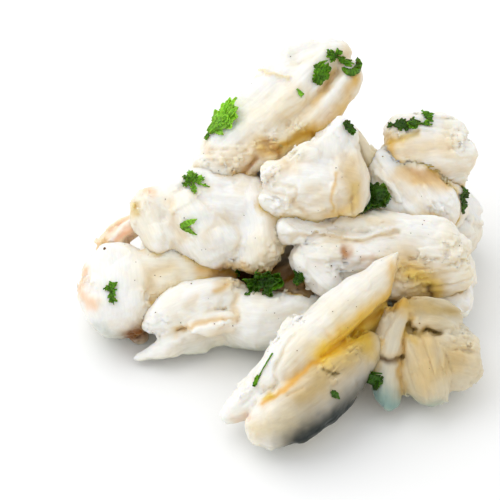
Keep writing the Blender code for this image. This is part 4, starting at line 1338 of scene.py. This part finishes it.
class Finish:
    """A node material: its surface shader, and short ways to add nodes to it."""

    def __init__(self, name):
        self.material = bpy.data.materials.new(name)
        self.material.use_nodes = True
        self.tree = self.material.node_tree
        self.surface = self.tree.nodes["Principled BSDF"]

    def fill(self, node, inputs):
        """Gives a node's inputs their values, or links them to other nodes' outputs."""
        for socket, value in inputs.items():
            if isinstance(value, bpy.types.NodeSocket):
                self.tree.links.new(value, node.inputs[socket])
            else:
                node.inputs[socket].default_value = value

    def add(self, kind, inputs, **settings):
        """A new node of this kind with these inputs."""
        node = self.tree.nodes.new("ShaderNode" + kind)
        for setting, value in settings.items():
            setattr(node, setting, value)
        self.fill(node, inputs)
        return node

    def stored(self, name, output):
        """What is stored at each vertex under this name."""
        return self.add("Attribute", {}, attribute_name=name).outputs[output]

    def noise(self, place, **inputs):
        """Smooth noise at this place; without one, in the object's own coordinates."""
        if place is None:
            place = self.add("TexCoord", {}).outputs["Object"]
        return self.add("TexNoise", {"Vector": place, **inputs}).outputs["Fac"]

    def spread(self, value, low, high):
        """The middle of a noise's range, spread from low to high."""
        inputs = {"Value": value, "From Min": 0.3, "From Max": 0.7, "To Min": low, "To Max": high}
        return self.add("MapRange", inputs).outputs[0]

    def painted(self, shade):
        """The stored colour, made lighter and darker by a shade."""
        inputs = {"Factor": 1.0, 6: self.stored("colour_and_painted_light", "Color"), 7: shade}
        return self.add("Mix", inputs, data_type="RGBA", blend_type="MULTIPLY").outputs[2]

    def ramp(self, value, dark, light, positions=(0.0, 1.0)):
        """A colour between dark and light."""
        ramp = self.add("ValToRGB", {"Fac": value})
        for element, colour, position in zip(ramp.color_ramp.elements, (dark, light), positions):
            element.color = (*colour, 1)
            element.position = position
        return ramp.outputs[0]

    def bump(self, height, strength, distance):
        """A normal that follows a height; the distance is in metres."""
        inputs = {"Height": height, "Strength": strength, "Distance": distance}
        return self.add("Bump", inputs).outputs[0]


def meat_material():
    """Moist cooked crab: stored tints with their painted shade, a mottle, and a fine bump that runs along
    the muscles.
    """
    finish = Finish("crab_meat")
    grain = finish.stored("grain", "Vector")
    stretched = finish.add("Mapping", {"Vector": grain, "Scale": (1.7, 1.7, 0.16)}).outputs[0]
    fibres = finish.noise(stretched, Scale=1.0, Detail=5.0, Distortion=0.7)
    cloudy = finish.noise(grain, Scale=0.35, Detail=3.0)
    pores = finish.add("TexVoronoi", {"Vector": grain, "Scale": 1.3}).outputs["Distance"]
    fibre_height = finish.add("Math", {0: fibres, 1: 0.75}, operation="MULTIPLY").outputs[0]
    height = finish.add("Math", {0: pores, 1: 0.25, 2: fibre_height}, operation="MULTIPLY_ADD").outputs[0]
    looks = {
        "Base Color": finish.painted(finish.spread(fibres, 0.95, 1.03)),
        "Roughness": finish.spread(cloudy, 0.30, 0.52),
        "Normal": finish.bump(height, 0.28, 0.0004),
        "Subsurface Weight": 0.75,
        "Subsurface Radius": (1.0, 0.84, 0.6),
        "Subsurface Scale": 0.0021,
        "IOR": 1.33,
        "Coat Weight": 0.1,
        "Coat Roughness": 0.12,
    }
    finish.fill(finish.surface, looks)
    return finish.material


def parsley_material():
    """Fresh parsley: each leaf's green with its painted highlights, blotches and a soft gloss."""
    finish = Finish("parsley")
    blotches = finish.noise(None, Scale=1800.0, Detail=3.0)
    looks = {
        "Base Color": finish.painted(finish.spread(blotches, 0.6, 1.5)),
        "Roughness": finish.spread(blotches, 0.2, 0.42),
        "Normal": finish.bump(blotches, 0.5, 0.0002),
        "Subsurface Weight": 0.25,
        "Subsurface Scale": 0.0008,
        "IOR": 1.33,
    }
    finish.fill(finish.surface, looks)
    return finish.material


def pepper_material():
    """Ground pepper: dark brown with lighter broken faces."""
    finish = Finish("pepper")
    broken_faces = finish.noise(None, Scale=2500.0, Detail=2.0)
    colour = finish.ramp(broken_faces, PEPPER_DARK, PEPPER_LIGHT, (0.4, 0.65))
    finish.fill(finish.surface, {"Base Color": colour, "Roughness": 0.7})
    return finish.material


def floor_material():
    """A pale, even tabletop."""
    finish = Finish("pale_floor")
    colour = finish.ramp(finish.noise(None, Scale=6.0), FLOOR_DARK, FLOOR_LIGHT)
    finish.fill(finish.surface, {"Base Color": colour, "Roughness": 0.8, "Specular IOR Level": 0.1})
    return finish.material


# --- Parsley and pepper ---


def sprigs():
    """The bits of parsley that the front slope shows."""
    return (
        Sprig(
            (-11.0, 25.8),
            ((58, 9.4, 2.0), (45, 10.4, 2.3), (29, 9.2, 2.2), (12, 7.2, 1.6)),
            BRIGHT_GREEN, 0.2,
        ),
        Sprig((-11.0, 25.8), ((240, 1.6, 0.6),), MIDDLE_GREEN),
        Sprig(
            (-15.0, 14.6),
            ((100, 3.0, 0.7), (22, 2.8, 0.6), (-20, 4.0, 0.22), (265, 3.8, 0.6)),
            BRIGHT_GREEN,
        ),
        Sprig((-15.2, 14.8), ((160, 2.4, 0.6), (215, 2.6, 0.55), (60, 2.0, 0.5)), MIDDLE_GREEN, 0.4),
        Sprig((-17.6, 4.4), ((22, 4.8, 0.75), (-14, 4.6, 0.7)), BRIGHT_GREEN, 0.1, feathery=False),
        Sprig(
            (-33.8, -10.6),
            ((75, 1.8, 0.8), (-78, 3.6, 0.8), (150, 1.4, 0.5), (-20, 1.0, 0.4)),
            MIDDLE_GREEN,
        ),
        Sprig(
            (17.8, 43.4),
            ((-22, 4.2, 0.9), (165, 2.6, 0.9), (200, 2.0, 0.8), (60, 1.6, 0.7)),
            MIDDLE_GREEN, 0.35,
        ),
        Sprig((13.8, 36.8), ((66, 5.4, 1.6), (98, 4.2, 1.0), (120, 2.2, 0.6)), MIDDLE_GREEN, 0.2),
        Sprig((8.9, 35.8), ((-48, 2.0, 0.5),), BRIGHT_GREEN, 0.1, 0.1),
        Sprig((19.4, 27.8), ((-35, 3.6, 1.3), (10, 1.8, 0.8)), DARK_GREEN, 0.3),
        Sprig(
            (26.6, 9.4),
            (
                (118, 6.4, 1.5), (160, 3.8, 1.6), (80, 3.4, 1.6), (20, 4.6, 2.0),
                (-22, 4.8, 2.0), (-62, 4.4, 1.8), (-108, 4.2, 1.8), (212, 4.4, 1.6),
            ),
            DARK_GREEN, 0.35, 1.0,
        ),
        Sprig(
            (31.2, 27.4),
            ((3, 6.4, 1.2), (-16, 4.6, 1.0), (30, 3.0, 0.7), (160, 1.2, 0.6)),
            DARK_GREEN, 0.2,
        ),
        Sprig((38.2, 29.4), ((40, 1.6, 0.8), (-20, 1.4, 0.6)), MIDDLE_GREEN, 0.3),
        Sprig(
            (-1.8, -8.0),
            (
                (0, 6.0, 2.2), (32, 4.8, 1.8), (-25, 5.4, 1.8), (172, 5.2, 2.0),
                (205, 4.6, 1.6), (140, 3.4, 1.4), (100, 2.8, 1.4), (-80, 2.8, 1.4),
            ),
            DARK_GREEN, 0.4, 3.0,
        ),
        Sprig(
            (2.6, -8.0),
            ((20, 4.4, 1.8), (-50, 3.2, 1.4), (80, 3.0, 1.5), (185, 4.0, 1.8)),
            DARK_GREEN, 0.5, 3.0,
        ),
        Sprig((-4.6, -6.6), ((175, 3.0, 0.8), (150, 1.6, 0.6)), MIDDLE_GREEN, 0.2),
        Sprig((8.6, -7.6), ((-10, 2.6, 1.2), (-60, 2.0, 0.8)), DARK_GREEN, 0.3),
        Sprig((-0.9, -32.6), ((68, 2.8, 0.6), (60, 8.6, 0.14)), MIDDLE_GREEN, 0.05, 0.2, False),
        Sprig((16.6, -33.8), ((-24, 2.9, 0.8),), DARK_GREEN, 0.05, 0.15, False),
        Sprig((27.4, -33.4), ((95, 5.8, 1.4), (70, 3.0, 1.0)), DARK_GREEN, 0.2, 0.3),
    )


def back_sprigs():
    """The bits of parsley behind the crest, which lie at these places as seen from above."""
    return (
        Sprig((-14.0, 31.0), ((10, 4.6, 1.2), (40, 3.6, 0.9), (-30, 3.0, 0.8)), MIDDLE_GREEN),
        Sprig((2.0, 43.0), ((170, 3.4, 1.0), (205, 3.0, 0.9)), BRIGHT_GREEN),
        Sprig((13.0, 37.0), ((-15, 4.0, 0.5), (25, 3.6, 0.5)), MIDDLE_GREEN, feathery=False),
        Sprig((27.0, 31.0), ((0, 4.0, 1.2), (150, 3.0, 1.1), (-40, 3.4, 1.1)), DARK_GREEN, 0.35),
        Sprig((38.0, 29.0), ((190, 3.2, 0.9), (20, 2.4, 0.8)), MIDDLE_GREEN),
        Sprig((47.0, 17.0), ((20, 4.0, 1.2), (-25, 3.6, 1.1)), DARK_GREEN),
    )


def surface_tree(pieces):
    """A search tree over the pieces' surfaces, in layout mm."""
    points = []
    faces = []
    for piece in pieces:
        first = len(points)
        for vertex in piece.data.vertices:
            points.append(vertex.co / METRES_PER_MM + Vector(HEAP_MIDDLE))
        faces.extend([first + corner for corner in face.vertices] for face in piece.data.polygons)
    return BVHTree.FromPolygons(points, faces)


def seen_from_eye(tree, across, up):
    """The point of the surface, and its normal, that the eye sees at this place on the slope."""
    eye = Vector(on_slope(0.0, 0.0, EYE_DISTANCE))
    sight = (Vector(on_slope(across, up, 0.0)) - eye).normalized()
    return tree.ray_cast(eye, sight)[:2]


def seen_from_above(tree, x, y):
    """The highest point of the surface at this place, and its normal."""
    return tree.ray_cast(Vector((x, y, EYE_DISTANCE)), Vector((0.0, 0.0, -1.0)))[:2]


def out_of_slope(place):
    """How far a point lies out of the front slope."""
    return (np.array(place) - SLOPE_CENTRE) @ OUTWARD


def leaf_axes(heading, normal):
    """Ahead, sideways and up for a leaflet that heads this way on the slope."""
    turn = math.radians(heading)
    direction = Vector(math.cos(turn) * RIGHT + math.sin(turn) * UPHILL)
    ahead = (direction - direction.dot(normal) * normal).normalized()
    return ahead, normal.cross(ahead), normal


class Leaves:
    """Thin leaves laid on the heap and gathered into one mesh, with a tone for each point."""

    def __init__(self, tree):
        self.tree = tree
        self.builder = bmesh.new()
        self.tones = []

    def add_point(self, place, tone):
        """A new point of a leaf."""
        self.tones.append(np.minimum(1, tone))
        return self.builder.verts.new(place)

    def join_rows(self, rows):
        """Quads between each row of points and the next."""
        for lower, upper in zip(rows, rows[1:]):
            for number in range(len(lower) - 1):
                corners = (lower[number], lower[number + 1], upper[number + 1], upper[number])
                self.builder.faces.new(corners)

    def settled_height(self, flat, normal):
        """How far the surface lies above a point of the sprig's plane, kept within a few mm."""
        place = self.tree.ray_cast(flat + LEAF_REACH * normal, -normal, 2 * LEAF_REACH)[0]
        if place is None:
            return LEAF_HANG
        deepest, highest = LEAF_SINKS
        return max(deepest, min(highest, (place - flat).dot(normal)))

    def add_leaflet(self, base, axes, size, sprig, chance):
        """One toothed leaflet that lies on the surface and curls up along its edges and tip."""
        ahead, side, normal = axes
        length, half_width = size
        teeth = max(2, round(length))
        phase = chance.uniform(0, 1)
        tone = chance.uniform(*LEAF_TONES)
        rows = []
        for station in range(LEAF_STATIONS):
            share = station / (LEAF_STATIONS - 1)
            profile = math.sin(math.pi * min(1, 0.08 + 0.92 * share) ** 0.8) ** 0.7
            tooth = (share * teeth + phase) % 1.0
            row = []
            for column in LEAF_COLUMNS:
                reach = max(0.06, profile) * (0.7 + 0.4 * tooth if abs(column) == 1 else 0.85)
                flat = base + ahead * (share * length) + side * (column * half_width * reach)
                rise = self.settled_height(flat, normal)
                curl = sprig.curl * half_width * (1.5 * abs(column) ** 1.5 + 1.8 * share**2)
                ripple = 0.2 * math.sin(9.0 * share + 4.0 * column + 6.0 * phase)
                place = flat + (0.9 * rise + sprig.lift + curl + ripple) * normal
                # The middle vein is lighter; toward the tip and the edges a leaf is lighter too, as a
                # painted highlight.
                vein = 0.5 * (column == 0.0)
                pale = tone * (0.8 + vein + 0.9 * share * abs(column) + chance.uniform(-0.15, 0.15))
                row.append(self.add_point(place, sprig.colour * pale))
            rows.append(row)
        self.join_rows(rows)

    def add_frond(self, root, leaflet, sprig, chance):
        """A leaflet and, on a feathery sprig, the smaller ones along both its sides."""
        base, normal = root
        heading, length, half_width = leaflet
        axes = leaf_axes(heading, normal)
        narrow = SIDE_WIDTH * half_width
        middle_width = narrow if sprig.feathery else half_width
        self.add_leaflet(base, axes, (length, middle_width), sprig, chance)
        if not sprig.feathery:
            return
        for share, turn in itertools.product(SIDE_LEAFLETS, (-1, 1)):
            start = base + axes[0] * (share * length)
            side_axes = leaf_axes(heading + turn * chance.uniform(*SIDE_TURNS), normal)
            side_length = chance.uniform(0.8, 1.15) * (1.3 * half_width * (1.2 - 0.5 * share) + 0.3)
            self.add_leaflet(start, side_axes, (side_length, narrow), sprig, chance)

    def cup_point(self, across, up, middle_out, rise):
        """A point of the curled leaf: above the surface seen there, but never far from its middle."""
        place = seen_from_eye(self.tree, across, up)[0]
        out = middle_out if place is None else out_of_slope(place)
        out = min(max(out, middle_out - CUP_DEPTH), middle_out + CUP_DEPTH)
        return on_slope(across, up, out + rise)

    def add_cup(self):
        """The leaf whose edge has curled round, seen as a thick open ring."""
        chance = random.Random(CUP_SEED)
        middle_out = out_of_slope(seen_from_eye(self.tree, *CUP_PLACE)[0])
        rows = []
        for station in range(CUP_STATIONS):
            around = station / (CUP_STATIONS - 1)
            angle = math.radians(CUP_START + CUP_SWEEP * around)
            breadth = CUP_BREADTH * math.sin(math.pi * (0.1 + 0.8 * around)) ** 0.6
            row = []
            for share, rise in CUP_PROFILE:
                reach = CUP_RADIUS * (1 - breadth * (1 - share) + chance.uniform(-0.05, 0.05))
                across = CUP_PLACE[0] + reach * math.cos(angle)
                up = CUP_PLACE[1] + reach * math.sin(angle)
                place = self.cup_point(across, up, middle_out, rise)
                row.append(self.add_point(place, MIDDLE_GREEN * chance.uniform(0.4, 0.8 + share)))
            rows.append(row)
        self.join_rows(rows)

    def finished(self, material):
        """The leaves as one piece with some thickness."""
        points, faces = mesh_lists(self.builder)
        piece = new_piece("parsley", points, faces, material)
        set_colours(piece, np.array(self.tones))
        thickness = piece.modifiers.new("thickness", "SOLIDIFY")
        thickness.thickness = LEAF_THICKNESS * METRES_PER_MM


def mesh_lists(builder):
    """A bmesh's points and faces as rows; the bmesh is freed."""
    builder.verts.index_update()
    points = np.array([tuple(vertex.co) for vertex in builder.verts])
    faces = np.array([[corner.index for corner in face.verts] for face in builder.faces])
    builder.free()
    return points, faces


def lay_parsley(tree, material):
    """All the parsley, seen from the front or, behind the crest, from above."""
    leaves = Leaves(tree)
    leaves.add_cup()
    laid = [(sprig, seen_from_eye(tree, *sprig.place)) for sprig in sprigs()]
    laid += [(sprig, seen_from_above(tree, *sprig.place)) for sprig in back_sprigs()]
    for number, (sprig, root) in enumerate(laid):
        if root[0] is None:
            raise ValueError(f"no meat under the parsley at {sprig.place}")
        chance = random.Random(PARSLEY_SEED + number)
        for leaflet in sprig.leaflets:
            leaves.add_frond(root, leaflet, sprig, chance)
    leaves.finished(material)


def scattered_places(tree, count, seed):
    """Places on the surface as seen from random directions all around."""
    chance = random.Random(seed)
    found = []
    while len(found) < count:
        bearing = chance.uniform(0, 2 * math.pi)
        height = math.radians(chance.uniform(*SPECK_HEIGHTS))
        outward = Vector((math.cos(bearing) * math.cos(height), math.sin(bearing) * math.cos(height), 0))
        outward.z = math.sin(height)
        aside = Vector((*(chance.gauss(0, spread) for spread in SPECK_SPREAD), SPECK_LEVEL))
        target = Vector(HEAP_MIDDLE) + aside
        place, normal = tree.ray_cast(target + SPECK_START * outward, -outward)[:2]
        if place is not None:
            found.append((place, normal))
    return found


def rough_bit(place, normal, size, seed):
    """The points and faces of one small rough bit."""
    ball = bmesh.new()
    bmesh.ops.create_icosphere(ball, subdivisions=1, radius=1.0)
    chance = random.Random(seed)
    turn = Matrix.Rotation(chance.uniform(0, 6.3), 3, normal)
    stretch = Vector(chance.uniform(low, high) for low, high in SPECK_STRETCH)
    points = []
    for vertex in ball.verts:
        rough = 1 + 0.35 * noise.noise(vertex.co * 1.7 + Vector((seed, 0, 0)))
        local = Vector(vertex.co[axis] * stretch[axis] for axis in range(3))
        points.append(tuple(place + 0.3 * size * normal + turn @ (local * size * rough)))
    return points, mesh_lists(ball)[1]


def scatter_pepper(tree, material):
    """Specks of pepper here and there, as one piece."""
    sizes = random.Random(SPECK_SIZE_SEED)
    bits = []
    for number, root in enumerate(scattered_places(tree, SPECK_COUNT, SPECK_PLACE_SEED)):
        bits.append((*root, sizes.uniform(*SPECK_SIZES), SPECK_SEED + number))
    large_place, large_size, large_seed = LARGE_SPECK
    bits.append((*seen_from_eye(tree, *large_place), large_size, large_seed))
    points = []
    faces = []
    for bit in bits:
        bit_points, bit_faces = rough_bit(*bit)
        faces.append(bit_faces + len(points))
        points.extend(bit_points)
    new_piece("pepper", np.array(points), np.concatenate(faces), material)


# --- The stage ---


def link_new(name, data):
    """A new object in the scene that holds this data."""
    thing = bpy.data.objects.new(name, data)
    bpy.context.scene.collection.objects.link(thing)
    return thing


def add_key_light():
    """A soft square light behind the heap, above and to the left."""
    light = bpy.data.lights.new("key", "AREA")
    light.size = KEY_SIZE
    light.energy = KEY_POWER
    light.color = KEY_COLOUR
    lamp = link_new("key", light)
    lamp.location = KEY_PLACE
    lamp.rotation_euler = (Vector(KEY_TARGET) - lamp.location).to_track_quat("-Z", "Y").to_euler()


def add_camera():
    """A long lens at the photograph's place, square to the heap's front slope."""
    camera = bpy.data.cameras.new("camera")
    camera.sensor_width = SENSOR_WIDTH
    camera.lens = SENSOR_WIDTH * EYE_DISTANCE / VIEW_WIDTH
    camera.clip_start = CLIP_START
    place = on_slope(0.0, 0.0, EYE_DISTANCE) + VIEW_ACROSS * RIGHT + VIEW_UP * UPHILL
    turn = Matrix(np.stack((RIGHT, UPHILL, OUTWARD), axis=1).tolist()).to_4x4()
    eye = link_new("camera", camera)
    eye.matrix_world = Matrix.Translation(to_metres(place)) @ turn
    bpy.context.scene.camera = eye


def add_floor():
    """A pale floor under the heap."""
    builder = bmesh.new()
    bmesh.ops.create_grid(builder, x_segments=1, y_segments=1, size=FLOOR_SIZE / 2)
    mesh = bpy.data.meshes.new("floor")
    builder.to_mesh(mesh)
    builder.free()
    mesh.materials.append(floor_material())
    floor = link_new("floor", mesh)
    floor.location.z = FLOOR_DROP


def add_sky():
    """An even white surround."""
    world = bpy.data.worlds.new("soft_white")
    world.use_nodes = True
    sky = world.node_tree.nodes["Background"]
    sky.inputs["Color"].default_value = SKY_COLOUR
    sky.inputs["Strength"].default_value = SKY_STRENGTH
    bpy.context.scene.world = world


def set_stage():
    """The floor, the soft studio light and the camera."""
    add_floor()
    add_sky()
    add_key_light()
    add_camera()
    bpy.context.scene.view_settings.view_transform = "Standard"


def main():
    """Dresses the heap and sets the stage."""
    pieces = dress_lumps(meat_material())
    tree = surface_tree(pieces.values())
    lay_parsley(tree, parsley_material())
    scatter_pepper(tree, pepper_material())
    set_stage()


main()
